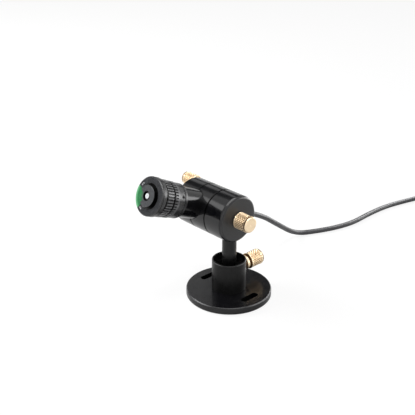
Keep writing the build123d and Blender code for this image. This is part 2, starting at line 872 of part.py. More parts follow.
# Write each piece
pieces = {
    "base_plate": base_plate,
    "post_socket": post_socket,
    "socket_screws": socket_screws,
    "post": post,
    "post_lock_screw": post_lock_screw,
    "swivel_block": swivel_block,
    "tilt_washer": tilt_washer,
    "tilt_lock_screw": tilt_lock_screw,
    "inner_jaw": inner_jaw,
    "outer_jaw": outer_jaw,
    "jaw_screw": jaw_screw,
    "clamp_lock_screw": clamp_lock_screw,
    "barrel": barrel,
    "rear_cap": rear_cap,
    "cable_gland": cable_gland,
    "cable_inner": cable_inner,
    "diode_mount": diode_mount,
    "laser_diode": laser_diode,
    "collimator_cell": collimator_cell,
    "collimating_lens": collimating_lens,
    "driver_board": driver_board,
    "driver_chip": driver_chip,
    "driver_capacitor": driver_capacitor,
    "head_sleeve": head_sleeve,
    "head_set_screws": head_set_screws,
    "optics_tube": optics_tube,
    "lock_ring": lock_ring,
    "focus_ring": focus_ring,
    "front_bezel": front_bezel,
    "aperture_window": aperture_window,
    "line_lens": line_lens,
    "lens_retainer": lens_retainer,
    "cable_lead": cable_lead,
    "cable_run": cable_run,
    "cable_coil": cable_coil,
    "coil_tie": coil_tie,
    "plug_body": plug_body,
    "plug_nut": plug_nut,
    "plug_insert": plug_insert,
}
os.makedirs("parts", exist_ok=True)
for name, piece in pieces.items():
    piece.part.label = name
    export_step(piece.part, f"parts/{name}.step")

# Report the cable's bends, its volume against section times length, and its whole length
section = pi * cable_radius**2
laid_length = lead_length + run_length
laid_volume = cable_lead.part.volume + cable_run.part.volume
whole_length = laid_length + coil_lead + tail_lead + coil_turns * pi * coil_diameter
print("cable bend radii:", [round(radius, 1) for radius in lead_radii + run_radii])
print("cable volume over section times length:", round(laid_volume / (section * laid_length), 5))
print("cable laid out and whole length:", round(laid_length, 1), round(whole_length, 1))
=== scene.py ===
import json
import logging
from dataclasses import dataclass, field, replace
from enum import Enum
from math import atan2, cos, degrees, hypot, pi, radians, sin, tau
from typing import Any, Callable, Sequence

import bmesh
import bpy
import numpy as np
from mathutils import Matrix, Vector


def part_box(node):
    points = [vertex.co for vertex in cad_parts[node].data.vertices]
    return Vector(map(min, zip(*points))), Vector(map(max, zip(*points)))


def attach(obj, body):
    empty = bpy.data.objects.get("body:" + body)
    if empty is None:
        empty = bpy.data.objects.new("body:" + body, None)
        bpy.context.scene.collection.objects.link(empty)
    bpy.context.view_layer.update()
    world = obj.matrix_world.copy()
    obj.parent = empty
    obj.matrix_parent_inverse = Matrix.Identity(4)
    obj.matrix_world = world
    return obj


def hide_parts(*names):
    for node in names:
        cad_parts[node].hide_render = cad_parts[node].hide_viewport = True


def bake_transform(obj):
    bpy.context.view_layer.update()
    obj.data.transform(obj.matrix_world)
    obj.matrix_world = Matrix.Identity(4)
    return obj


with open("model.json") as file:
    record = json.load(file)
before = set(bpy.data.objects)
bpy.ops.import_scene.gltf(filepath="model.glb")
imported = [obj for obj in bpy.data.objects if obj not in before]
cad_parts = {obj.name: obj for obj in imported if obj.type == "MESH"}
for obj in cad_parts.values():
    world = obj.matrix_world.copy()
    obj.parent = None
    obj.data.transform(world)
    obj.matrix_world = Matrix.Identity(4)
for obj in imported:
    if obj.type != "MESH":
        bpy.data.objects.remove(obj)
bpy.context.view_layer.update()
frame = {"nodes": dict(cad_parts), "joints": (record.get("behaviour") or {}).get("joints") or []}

# Looks of a laser diode module in a swivel clamp on a round base.
# Pieces are shaped in millimetres round their own axis and are scaled to metres as they are placed.

MM = 0.001
UP = Vector((0.0, 0.0, 1.0))
SWIVEL_WAY = Vector((1.0, 0.0, 0.0))
KNOB_WAY = Vector((0.0, 1.0, 0.0))
WHITE = (1.0, 1.0, 1.0, 1.0)
# Near black for painted shade in recesses.
SHADE_BLACK = (0.001, 0.001, 0.001)
CRISP_ANGLE = 32.0
FINE_ANGLE = 28.0
SHARP_ANGLE = 25.0
RIB_STEPS = 8

Corner = tuple[float, float]
Profile = Sequence[Corner]
Point = tuple[float, float, float]
Colour = tuple[float, float, float]
Piece = bpy.types.Object
Material = bpy.types.Material
Socket = bpy.types.NodeSocket

log = logging.getLogger("laser_stand")


class Body(str, Enum):
    """The bodies that pieces ride on."""

    BASE = "base"
    POST = "post"
    BRACKET = "bracket"
    CLAMP = "clamp"
    LASER = "laser"
    LOCK_RING = "lock_ring"
    FOCUS_RING = "focus_ring"
    POST_SCREW = "post_lock_screw"
    TILT_SCREW = "tilt_lock_screw"
    CLAMP_SCREW = "clamp_lock_screw"
    PLUG_NUT = "plug_nut"


class Slot(str, Enum):
    """The record's material slots."""

    ANODISED = "black_anodised"
    STEEL = "steel"
    POST_STEEL = "post_steel"
    DARK_STEEL = "dark_steel"
    BRASS = "brass"
    POLYMER = "dark_polymer"
    JACKET = "cable_jacket"
    TIE = "tie_polymer"
    GLASS = "optical_glass"
    NICKEL = "nickel"


# Places


def joint(name: str) -> dict[str, Any]:
    """Finds a joint of the frame by its name, with its place in metres and its axis."""
    return next(entry for entry in frame["joints"] if entry["name"] == name)


def placed_on(origin: Sequence[float], axis: Sequence[float], across: Sequence[float]) -> Matrix:
    """Works out where a piece shaped in millimetres round its own Z axis belongs.

    Args:
        origin: the point in metres where the piece's own origin goes.
        axis: the way that the piece's own Z axis points.
        across: the way that the piece's own X axis points.

    Returns:
        The matrix from the piece's millimetres to the frame's metres.
    """
    along = Vector(axis).normalized()
    side = Vector(across)
    side = (side - along * side.dot(along)).normalized()
    turn = Matrix((side, along.cross(side), along)).transposed().to_4x4()
    return Matrix.Translation(Vector(origin)) @ turn @ Matrix.Scale(MM, 4)


def placed_by_joint(name: str, across: Sequence[float]) -> Matrix:
    """Works out the place of a piece round a joint's axis, with its own X axis pointing across."""
    entry = joint(name)
    return placed_on(entry["pos_m"], entry["axis"], across)


STAND_PLACE = placed_on((0.0, 0.0, 0.0), UP, SWIVEL_WAY)
SWIVEL_PLACE = placed_by_joint("tilt", KNOB_WAY)
BEAM_PLACE = placed_by_joint("roll", SWIVEL_WAY)
POST_SCREW_PLACE = placed_by_joint("post_screw_turn", SWIVEL_WAY)
TILT_SCREW_PLACE = placed_by_joint("tilt_screw_turn", KNOB_WAY)
CLAMP_SCREW_PLACE = placed_by_joint("clamp_screw_turn", KNOB_WAY)
PLUG_PLACE = placed_by_joint("plug_nut_turn", UP)
BEAM = Vector(joint("roll")["axis"]).normalized()
BEAM_CENTRE = Vector(joint("roll")["pos_m"])


# Shaping


def pick_nothing() -> None:
    """Deselects every object, so that an operator acts on the new piece alone."""
    bpy.ops.object.select_all(action="DESELECT")


def make_active(piece: Piece) -> None:
    """Selects one piece alone and makes it the active one.

    Args:
        piece: the piece.
    """
    pick_nothing()
    piece.select_set(True)
    bpy.context.view_layer.objects.active = piece


def new_piece(name: str) -> Piece:
    """Names the primitive that was just added.

    Args:
        name: the piece's name.

    Returns:
        The new piece.
    """
    piece = bpy.context.active_object
    piece.name = name
    piece.data.name = name
    return piece


def lathe(name: str, profile: Profile, steps: int = 160) -> Piece:
    """Turns an outline about the Z axis, as on a lathe.

    Args:
        name: the piece's name.
        profile: corners as (radius, height) in millimetres; an outline with no corner on the axis is closed.
        steps: facets in a full turn.

    Returns:
        The turned piece, closed, with its faces outwards.
    """
    corners = list(profile)
    if min(radius for radius, _ in corners) > 0.0:
        corners.append(corners[0])
    pick_nothing()
    bpy.ops.mesh.primitive_plane_add(size=1.0)
    piece = new_piece(name)
    bpy.ops.object.mode_set(mode="EDIT")
    bpy.ops.mesh.select_mode(type="VERT")
    bpy.ops.mesh.select_all(action="SELECT")
    bpy.ops.mesh.merge(type="CENTER")
    bpy.ops.transform.translate(value=(corners[0][0], 0.0, corners[0][1]))
    for before, after in zip(corners, corners[1:]):
        step = (after[0] - before[0], 0.0, after[1] - before[1])
        bpy.ops.mesh.extrude_vertices_move(TRANSFORM_OT_translate={"value": step})
    bpy.ops.mesh.select_all(action="SELECT")
    bpy.ops.mesh.spin(steps=steps, angle=tau, center=(0.0, 0.0, 0.0), axis=(0.0, 0.0, 1.0))
    bpy.ops.mesh.select_all(action="SELECT")
    bpy.ops.mesh.remove_doubles(threshold=0.002)
    bpy.ops.mesh.normals_make_consistent(inside=False)
    bpy.ops.object.mode_set(mode="OBJECT")
    return piece


def bar(name: str, sides: int, radius: float, start: float, end: float) -> Piece:
    """Makes a round or many-sided bar along the Z axis, from which holes and hexagons are cut.

    Args:
        name: the piece's name.
        sides: number of sides.
        radius: radius to the corners in millimetres.
        start: height of the lower end.
        end: height of the upper end.

    Returns:
        The bar.
    """
    pick_nothing()
    bpy.ops.mesh.primitive_cylinder_add(
        vertices=sides,
        radius=radius,
        depth=end - start,
        location=(0.0, 0.0, (start + end) / 2),
        rotation=(0.0, 0.0, pi / sides),
    )
    piece = new_piece(name)
    bpy.ops.object.transform_apply(location=True, rotation=True, scale=True)
    return piece


def shift(piece: Piece, matrix: Matrix) -> Piece:
    """Moves a piece's mesh and leaves its object at the origin.

    Args:
        piece: the piece.
        matrix: where it goes.

    Returns:
        The same piece.
    """
    piece.data.transform(matrix)
    piece.data.update()
    return piece


def open_mesh(piece: Piece, kind: str) -> bmesh.types.BMesh:
    """Enters edit mode with nothing selected.

    Args:
        piece: the piece.
        kind: what is selected next: VERT, EDGE or FACE.

    Returns:
        The mesh that is edited.
    """
    make_active(piece)
    bpy.ops.object.mode_set(mode="EDIT")
    bpy.ops.mesh.select_mode(type=kind)
    bpy.ops.mesh.select_all(action="DESELECT")
    return bmesh.from_edit_mesh(piece.data)


def select_vertices(piece: Piece, chosen: Callable[[Vector], bool]) -> None:
    """Enters edit mode with the vertices selected that a test chooses by their place.

    Args:
        piece: the piece.
        chosen: test of a vertex's place.
    """
    edited = open_mesh(piece, "VERT")
    for vertex in edited.verts:
        vertex.select_set(chosen(vertex.co))
    edited.select_flush_mode()
    bmesh.update_edit_mesh(piece.data)


def draw_in(piece: Piece, chosen: Callable[[Vector], bool], factor: float) -> None:
    """Draws chosen vertices towards the Z axis.

    Args:
        piece: the piece.
        chosen: test of a vertex's place.
        factor: share of the radius that is left.
    """
    select_vertices(piece, chosen)
    bpy.ops.transform.resize(value=(factor, factor, 1.0), center_override=(0.0, 0.0, 0.0))
    bpy.ops.object.mode_set(mode="OBJECT")


def turn_share(place: Vector, copies: int) -> float:
    """Says how far round a repeat a point lies, from 0 to 1."""
    return (atan2(place.y, place.x) / tau * copies + 1e-4) % 1.0


def notch(piece: Piece, teeth: int, outer: float, depth: float, start: float, end: float, share: float) -> None:
    """Presses notches into a turned ring by drawing in every few columns of its vertices.

    Args:
        piece: the ring.
        teeth: notches in a full turn.
        outer: the ring's outer radius.
        depth: depth of a notch.
        start: height where the notches start.
        end: height where they end.
        share: half of a notch's floor as a share of the pitch.
    """
    floor = outer - depth
    slack = 0.001
    radii = sorted(
        {
            round(hypot(vertex.co.x, vertex.co.y), 3)
            for vertex in piece.data.vertices
            if start - slack < vertex.co.z < end + slack and hypot(vertex.co.x, vertex.co.y) > floor + slack
        }
    )
    for radius in radii:

        def in_floor(place: Vector) -> bool:
            """Says whether a point of this radius lies over a notch's floor."""
            inside = start - slack < place.z < end + slack
            here = abs(hypot(place.x, place.y) - radius) < slack
            part = turn_share(place, teeth)
            return inside and here and min(part, 1.0 - part) < share

        draw_in(piece, in_floor, floor / radius)


def knurl(piece: Piece, columns: int, radius: float, depth: float, start: float, row: float, rows: int) -> None:
    """Raises a diamond knurl: every second point of a grid is drawn in, and the valleys join them.

    Args:
        piece: the turned piece, with a grid of vertices where the knurl goes.
        columns: columns of the grid in a full turn.
        radius: the grid's radius.
        depth: depth of the valleys.
        start: height of the first row.
        row: height of a row.
        rows: number of rows.
    """

    def on_grid(place: Vector) -> bool:
        """Says whether a point lies on the grid."""
        level = (place.z - start) / row
        return abs(hypot(place.x, place.y) - radius) < 0.01 and -0.1 < level < rows + 0.1

    def is_valley(place: Vector) -> bool:
        """Says whether a point of the grid is drawn in."""
        column = round(atan2(place.y, place.x) / tau * columns)
        level = round((place.z - start) / row)
        return on_grid(place) and (column + level) % 2 == 1 and 0 < level < rows

    def in_band(place: Vector) -> bool:
        """Says whether a point belongs to the knurled band."""
        level = (place.z - start) / row
        return hypot(place.x, place.y) > radius - 2 * depth and -0.1 < level < rows + 0.1

    draw_in(piece, is_valley, 1.0 - depth / radius)
    select_vertices(piece, in_band)
    bpy.ops.mesh.quads_convert_to_tris(quad_method="SHORTEST_DIAGONAL")
    bpy.ops.object.mode_set(mode="OBJECT")


def ribbed(radii: Corner, ends: Corner, ribs: int, depth: float, land: float = 0.0) -> list[Corner]:
    """Works out a tapering outline with rounded grooves.

    Args:
        radii: radius at the first and at the second end.
        ends: height of the two ends.
        ribs: number of grooves.
        depth: depth of a groove.
        land: share of a groove's wave that stays plain.

    Returns:
        The outline's corners.
    """
    corners = []
    steps = ribs * RIB_STEPS
    for index in range(steps + 1):
        part = index / steps
        taper = radii[0] + (radii[1] - radii[0]) * part
        wave = max(0.0, sin(tau * ribs * part - pi / 2) - land) / (1.0 - land)
        corners.append((taper - depth * wave, ends[0] + (ends[1] - ends[0]) * part))
    return corners


def apply_modifier(piece: Piece, kind: str, **settings: Any) -> None:
    """Adds a modifier, sets it and applies it.

    Args:
        piece: the piece.
        kind: the modifier's type.
        **settings: the modifier's own values.
    """
    make_active(piece)
    bpy.ops.object.modifier_add(type=kind)
    modifier = piece.modifiers[-1]
    for name, value in settings.items():
        setattr(modifier, name, value)
    bpy.ops.object.modifier_apply(modifier=modifier.name)


def ease(piece: Piece, width: float, segments: int = 2) -> None:
    """Rounds a piece's sharp edges by a width in millimetres, in a few steps."""
    limit = radians(SHARP_ANGLE)
    apply_modifier(piece, "BEVEL", width=width, segments=segments, limit_method="ANGLE", angle_limit=limit)


def combine(piece: Piece, other: Piece, operation: str) -> None:
    """Cuts another piece out of a piece, or joins it on, and removes the other.

    Args:
        piece: the piece that stays.
        other: the piece that is used up.
        operation: DIFFERENCE or UNION.
    """
    apply_modifier(piece, "BOOLEAN", operation=operation, object=other, solver="EXACT")
    used = other.data
    bpy.data.objects.remove(other)
    bpy.data.meshes.remove(used)


def cut(piece: Piece, cutter: Piece) -> None:
    """Cuts a cutter's shape out of a piece."""
    combine(piece, cutter, "DIFFERENCE")


def bevel_where(piece: Piece, chosen: Callable[[Vector, Vector], bool], width: float, segments: int = 2) -> None:
    """Bevels the sharp edges that a test chooses by their two ends.

    Args:
        piece: the piece.
        chosen: test of an edge's ends.
        width: width of the bevel in millimetres.
        segments: steps across the bevel.
    """
    edited = open_mesh(piece, "EDGE")
    for edge in edited.edges:
        sharp = len(edge.link_faces) == 2 and edge.calc_face_angle(0.0) > radians(SHARP_ANGLE)
        edge.select_set(sharp and chosen(edge.verts[0].co, edge.verts[1].co))
    bmesh.update_edit_mesh(piece.data)
    bpy.ops.mesh.bevel(offset=width, segments=segments, affect="EDGES", clamp_overlap=True)
    bpy.ops.object.mode_set(mode="OBJECT")


def copy_of(piece: Piece, name: str) -> Piece:
    """Copies a piece with a mesh of its own.

    Args:
        piece: the piece that is copied.
        name: the copy's name.

    Returns:
        The copy.
    """
    twin = piece.copy()
    twin.data = piece.data.copy()
    twin.name = name
    twin.data.name = name
    bpy.context.scene.collection.objects.link(twin)
    return twin


def row_of(first: Piece, count: int) -> list[Piece]:
    """Copies a piece whose name ends in 1 and numbers the copies on from it, up to a count."""
    stem = first.name.removesuffix("1")
    return [first] + [copy_of(first, f"{stem}{number}") for number in range(2, count + 1)]


def smooth(piece: Piece, angle: float = CRISP_ANGLE) -> None:
    """Shades a piece smooth, apart from edges sharper than an angle in degrees, and keeps its large faces flat.

    Args:
        piece: the piece.
        angle: edges sharper than this stay crisp.
    """
    make_active(piece)
    bpy.ops.object.shade_smooth_by_angle(angle=radians(angle))
    apply_modifier(piece, "WEIGHTED_NORMAL", keep_sharp=True, weight=80)


def dress(piece: Piece, material: Material) -> None:
    """Gives a piece one material all over."""
    piece.data.materials.clear()
    piece.data.materials.append(material)


def settle(
    piece: Piece,
    place: Matrix,
    material: Material,
    body: Body,
    nodes: Sequence[str] = (),
    angle: float = CRISP_ANGLE,
) -> Piece:
    """Puts a shaped piece in its place, dresses it and ties it to the frame.

    Args:
        piece: the shaped piece.
        place: matrix from its millimetres to the frame.
        material: its finish.
        body: the body that it rides on.
        nodes: the nodes that it stands for.
        angle: edges sharper than this, in degrees, stay crisp.

    Returns:
        The finished piece.
    """
    shift(piece, place)
    dress(piece, material)
    smooth(piece, angle)
    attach(piece, body.value)
    if nodes:
        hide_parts(*nodes)
    log.info("%s rides on %s", piece.name, body.value)
    return piece


# Finishes


def bare_material(name: str) -> Material:
    """Makes a material with an empty tree.

    Args:
        name: the material's name.

    Returns:
        The material.
    """
    material = bpy.data.materials.new(name)
    material.use_nodes = True
    material.node_tree.nodes.clear()
    return material


class Paint:
    """Node tree of one material, with a principled shader at its end."""

    def __init__(self, name: str) -> None:
        """Starts a material with an empty tree."""
        self.material = bare_material(name)
        self.tree = self.material.node_tree
        self.surface = self.node("ShaderNodeBsdfPrincipled")
        output = self.node("ShaderNodeOutputMaterial")
        self.tree.links.new(self.surface.outputs["BSDF"], output.inputs["Surface"])

    def node(self, kind: str, **settings: Any) -> bpy.types.Node:
        """Adds a node.

        Args:
            kind: the node's type.
            **settings: the node's own values.

        Returns:
            The node.
        """
        made = self.tree.nodes.new(kind)
        for name, value in settings.items():
            setattr(made, name, value)
        return made

    def plug(self, value: Any, socket: Socket) -> None:
        """Links an input to another socket, or sets it to a value.

        Args:
            value: a value, or the socket that is linked.
            socket: the input.
        """
        if isinstance(value, Socket):
            self.tree.links.new(value, socket)
        else:
            socket.default_value = value

    def feed(self, node: bpy.types.Node, **inputs: Any) -> bpy.types.Node:
        """Sets or links a node's inputs; an underscore in a name stands for a space.

        Args:
            node: the node.
            **inputs: a value, or the socket that is linked.

        Returns:
            The same node.
        """
        for name, value in inputs.items():
            self.plug(value, node.inputs[name.replace("_", " ")])
        return node

    def sums(self, operation: str, first: Any, second: Any = 0.0, third: Any = 0.0) -> Socket:
        """Works out one number.

        Args:
            operation: the Math node's operation.
            first: number or socket.
            second: number or socket.
            third: number or socket.

        Returns:
            The socket that holds the result.
        """
        made = self.node("ShaderNodeMath", operation=operation)
        for index, value in enumerate((first, second, third)):
            self.plug(value, made.inputs[index])
        return made.outputs["Value"]

    def own_place(self, place: Matrix) -> Socket:
        """Gives each point in the millimetres of a piece's own axes.

        Args:
            place: matrix from the piece's millimetres to the frame.

        Returns:
            The socket that holds the point.
        """
        coordinates = self.node("ShaderNodeTexCoord")
        mapping = self.node("ShaderNodeMapping", vector_type="TEXTURE")
        turn = place.to_3x3().normalized().to_euler()
        self.feed(
            mapping,
            Vector=coordinates.outputs["Object"],
            Location=place.translation,
            Rotation=turn,
            Scale=(MM, MM, MM),
        )
        return mapping.outputs["Vector"]

    def split(self, vector: Socket) -> tuple[Socket, ...]:
        """Splits a vector into its three numbers."""
        parts = self.feed(self.node("ShaderNodeSeparateXYZ"), Vector=vector)
        return tuple(parts.outputs[axis] for axis in "XYZ")

    def radius(self, x: Socket, y: Socket) -> Socket:
        """Gives the distance from the piece's own axis."""
        return self.sums("SQRT", self.sums("ADD", self.sums("MULTIPLY", x, x), self.sums("MULTIPLY", y, y)))

    def noise(self, vector: Socket, scale: float, detail: float = 2.0) -> Socket:
        """Gives a cloudy pattern, about 0 to 1, with its scale in features to a millimetre."""
        made = self.feed(self.node("ShaderNodeTexNoise"), Vector=vector, Scale=scale, Detail=detail)
        return made.outputs["Fac"]

    def spread(self, value: Socket, low: float, high: float, start: float = 0.0, end: float = 1.0,
               smoothly: bool = False) -> Socket:
        """Maps a number from one range to another.

        Args:
            value: the number.
            low: start of the range that it comes from.
            high: end of that range.
            start: start of the range that it goes to.
            end: end of that range.
            smoothly: whether the ends are eased.

        Returns:
            The socket that holds the result.
        """
        made = self.node("ShaderNodeMapRange", interpolation_type="SMOOTHSTEP" if smoothly else "LINEAR")
        self.feed(made, Value=value, From_Min=low, From_Max=high, To_Min=start, To_Max=end)
        return made.outputs["Result"]

    def mix(self, share: Any, first: Any, second: Any) -> Socket:
        """Mixes two colours.

        Args:
            share: how much of the second, as a number or socket.
            first: colour or socket.
            second: colour or socket.

        Returns:
            The socket that holds the colour.
        """
        made = self.node("ShaderNodeMix", data_type="RGBA")
        sockets = [socket for socket in made.inputs if socket.enabled]
        for socket, value in zip(sockets, (share, first, second)):
            self.plug((*value, 1.0) if isinstance(value, tuple) else value, socket)
        return next(socket for socket in made.outputs if socket.enabled)

    def away_from(self, angle: Socket, middle: float) -> Socket:
        """Gives how far an angle lies from a middle one, either way.

        Args:
            angle: angle in radians.
            middle: middle angle in degrees.

        Returns:
            The socket that holds the difference in degrees, from 0 to 180.
        """
        turned = self.sums("SUBTRACT", angle, radians(middle))
        back = self.sums("ARCCOSINE", self.sums("COSINE", turned))
        return self.sums("MULTIPLY", back, degrees(1.0))

    def inside_of(self, value: Socket, start: float, end: float, soft: float) -> Socket:
        """Gives 1 where a number lies in a range and 0 elsewhere, with a soft change outside each end."""
        rises = self.spread(value, start - soft, start)
        return self.sums("MULTIPLY", rises, self.spread(value, end, end + soft, 1.0, 0.0))

    def blacken(self, recess: Socket, colour: Socket) -> None:
        """Paints shade into a recess: dull and almost black there, with the colour kept elsewhere."""
        self.feed(self.surface, Base_Color=self.mix(recess, colour, SHADE_BLACK), Metallic=recess)

    def dull(self, least: Socket) -> None:
        """Keeps the roughness from falling below a least value."""
        gloss = self.surface.inputs["Roughness"].links[0].from_socket
        self.feed(self.surface, Roughness=self.sums("MAXIMUM", gloss, least))

    def bump(self, height: Socket, depth: float) -> None:
        """Roughens the surface by a pattern from 0 to 1, with its depth in millimetres."""
        made = self.feed(self.node("ShaderNodeBump"), Height=height, Distance=depth * MM, Strength=1.0)
        self.feed(self.surface, Normal=made.outputs["Normal"])


@dataclass(frozen=True)
class TurnedFinish:
    """A turned metal surface: fine rings round its axis, cloudy gloss and slightly uneven colour."""

    name: str
    dark: Colour
    pale: Colour
    metallic: float
    gloss: tuple[float, float]
    mark_depth: float
    marks: float = 7.0
    shine: float = 0.5
    cloud_scale: float = 0.16
    grain_scale: float = 5.0
    grain_share: float = 0.4

    def start(self, name: str, place: Matrix) -> tuple[Paint, Socket, Socket]:
        """Starts the finish on one piece.

        Args:
            name: the material's name.
            place: matrix from the piece's millimetres to the frame.

        Returns:
            The paint, the point in the piece's own millimetres and the colour.
        """
        paint = Paint(name)
        point = paint.own_place(place)
        x, y, z = paint.split(point)
        rings = paint.node("ShaderNodeCombineXYZ")
        paint.feed(rings, X=paint.radius(x, y), Y=z)
        fine = paint.noise(rings.outputs["Vector"], self.marks, 3.0)
        cloud = paint.noise(point, self.cloud_scale, 3.0)
        grain = paint.noise(point, self.grain_scale, 2.0)
        colour = paint.mix(cloud, self.dark, self.pale)
        paint.feed(
            paint.surface,
            Base_Color=colour,
            Metallic=self.metallic,
            Specular_IOR_Level=self.shine,
            Roughness=paint.spread(paint.sums("ADD", cloud, grain), 0.7, 1.3, self.gloss[0], self.gloss[1]),
        )
        paint.bump(paint.sums("ADD", fine, paint.sums("MULTIPLY", grain, self.grain_share)), self.mark_depth)
        return paint, point, colour

    def on(self, place: Matrix) -> Material:
        """Makes the finish for pieces that share an axis.

        Args:
            place: matrix from the piece's millimetres to the frame.

        Returns:
            The material, made once for each place.
        """
        spot = "_".join(str(round(value / MM)) for value in place.translation)
        way = "".join("m" if value < -0.5 else "p" if value > 0.5 else "o" for value in place.col[2][:3])
        name = f"{self.name}_{spot}_{way}"
        known = bpy.data.materials.get(name)
        return known or self.start(name, place)[0].material


@dataclass(frozen=True)
class MouldedFinish:
    """A moulded polymer or rubber: a fine grain, a soft gloss and faint clouds of colour."""

    name: str
    dark: Colour
    pale: Colour
    gloss: tuple[float, float]
    grain: float
    grain_depth: float
    cloud_scale: float = 0.3

    def on(self, place: Matrix) -> Material:
        """Makes the finish.

        Args:
            place: matrix from the piece's millimetres to the frame.

        Returns:
            The material, made once.
        """
        known = bpy.data.materials.get(self.name)
        if known:
            return known
        paint = Paint(self.name)
        point = paint.own_place(place)
        cloud = paint.noise(point, self.cloud_scale, 3.0)
        grain = paint.noise(point, self.grain, 2.0)
        paint.feed(
            paint.surface,
            Base_Color=paint.mix(cloud, self.dark, self.pale),
            Roughness=paint.spread(grain, 0.3, 0.7, self.gloss[0], self.gloss[1]),
        )
        paint.bump(grain, self.grain_depth)
        return paint.material


DEEP_BLACK = (0.002, 0.002, 0.003)
SOFT_BLACK = (0.005, 0.005, 0.006)
GLOSS_BLACK = TurnedFinish("gloss_black", DEEP_BLACK, SOFT_BLACK, 0.0, (0.11, 0.17), 0.0012, shine=0.42)
PLATE_BLACK = replace(GLOSS_BLACK, name="plate_black", gloss=(0.19, 0.27))
SATIN_BLACK = TurnedFinish(
    "satin_black", (0.005, 0.005, 0.005), (0.009, 0.009, 0.009), 0.0, (0.26, 0.36), 0.003, shine=0.22
)
HEAD_BLACK = TurnedFinish(
    "head_black", (0.010, 0.010, 0.011), (0.018, 0.018, 0.020), 0.0, (0.22, 0.32), 0.003, shine=0.7
)
POST_BLACK = TurnedFinish(
    "post_black", (0.006, 0.006, 0.006), (0.011, 0.011, 0.011), 0.0, (0.28, 0.4), 0.003, shine=0.3
)
PALE_BRASS = TurnedFinish("pale_brass", (0.91, 0.70, 0.45), (0.99, 0.82, 0.60), 1.0, (0.32, 0.44), 0.002)
BARE_BRASS = TurnedFinish("bare_brass", (0.62, 0.42, 0.16), (0.76, 0.55, 0.25), 1.0, (0.22, 0.4), 0.006)
BRIGHT_STEEL = TurnedFinish("bright_steel", (0.42, 0.42, 0.43), (0.60, 0.60, 0.61), 1.0, (0.24, 0.4), 0.005)
DARK_STEEL = TurnedFinish("dark_steel", (0.012, 0.012, 0.013), (0.03, 0.03, 0.032), 0.2, (0.3, 0.45), 0.004)
NICKEL_PLATE = TurnedFinish("nickel_plate", (0.52, 0.51, 0.48), (0.70, 0.69, 0.65), 1.0, (0.16, 0.3), 0.004)
CAN_SKIN = TurnedFinish("can_skin", (0.5, 0.5, 0.52), (0.66, 0.66, 0.68), 1.0, (0.28, 0.42), 0.005)
DARK_POLYMER = MouldedFinish("dark_polymer", (0.012, 0.012, 0.013), (0.022, 0.022, 0.023), (0.36, 0.52), 4.0, 0.012)
TIE_POLYMER = MouldedFinish("tie_polymer", (0.018, 0.018, 0.019), (0.035, 0.035, 0.036), (0.6, 0.85), 7.0, 0.05)
CHIP_EPOXY = MouldedFinish("chip_epoxy", (0.014, 0.014, 0.015), (0.024, 0.024, 0.026), (0.45, 0.6), 9.0, 0.01)


def jacket_finish() -> Material:
    """Makes the cable's satin jacket, with faint draw lines that run along it.

    Returns:
        The material.
    """
    paint = Paint("cable_jacket")
    along = paint.node("ShaderNodeUVMap", uv_map="along")
    stretch = paint.feed(paint.node("ShaderNodeMapping"), Vector=along.outputs["UV"], Scale=(30.0, 9.0, 1.0))
    lines = paint.noise(stretch.outputs["Vector"], 1.0, 3.0)
    point = paint.own_place(STAND_PLACE)
    cloud = paint.noise(point, 0.12, 3.0)
    grain = paint.noise(point, 6.0, 2.0)
    paint.feed(
        paint.surface,
        Base_Color=paint.mix(cloud, DEEP_BLACK, SOFT_BLACK),
        Specular_IOR_Level=0.17,
        Roughness=paint.spread(paint.sums("ADD", lines, grain), 0.6, 1.4, 0.12, 0.2),
    )
    paint.bump(paint.sums("ADD", paint.sums("MULTIPLY", lines, 0.7), paint.sums("MULTIPLY", grain, 0.3)), 0.01)
    return paint.material


def glass_finish(name: str, place: Matrix) -> Material:
    """Makes clear coated glass with a faint bloom of colour.

    Args:
        name: the material's name.
        place: matrix from the piece's millimetres to the frame.

    Returns:
        The material.
    """
    paint = Paint(name)
    point = paint.own_place(place)
    cloud = paint.noise(point, 0.8, 2.0)
    paint.feed(
        paint.surface,
        Base_Color=paint.mix(cloud, (0.86, 0.93, 0.92), (0.95, 0.97, 0.98)),
        Roughness=paint.spread(cloud, 0.3, 0.7, 0.01, 0.05),
        Transmission_Weight=1.0,
        IOR=1.52,
    )
    return paint.material


def window_finish(lit_radius: float) -> Material:
    """Makes the front window: a middle painted near white as painted light, in a rim painted almost black as painted
    shade.

    Args:
        lit_radius: radius of the middle painted near white, in millimetres.

    Returns:
        The material.
    """
    paint = Paint("window_painted_light")
    point = paint.own_place(BEAM_PLACE)
    x, y, _ = paint.split(point)
    radius = paint.radius(x, y)
    # Painted shade and painted light: the rim is painted almost black, the middle near white with a greyer centre.
    rim = paint.spread(radius, lit_radius - 0.12, lit_radius + 0.12, smoothly=True)
    pupil = paint.spread(radius, 0.15, 0.6, 0.62, 1.0, smoothly=True)
    cloud = paint.noise(point, 1.5, 2.0)
    glow = paint.mix(cloud, (0.80, 0.83, 0.85), (0.92, 0.94, 0.95))
    shaded = paint.mix(pupil, (0.30, 0.32, 0.34), glow)
    paint.feed(
        paint.surface,
        Base_Color=paint.mix(rim, shaded, (0.006, 0.006, 0.007)),
        Roughness=paint.spread(cloud, 0.3, 0.7, 0.04, 0.1),
        Coat_Weight=1.0,
        Coat_Roughness=0.03,
    )
    return paint.material


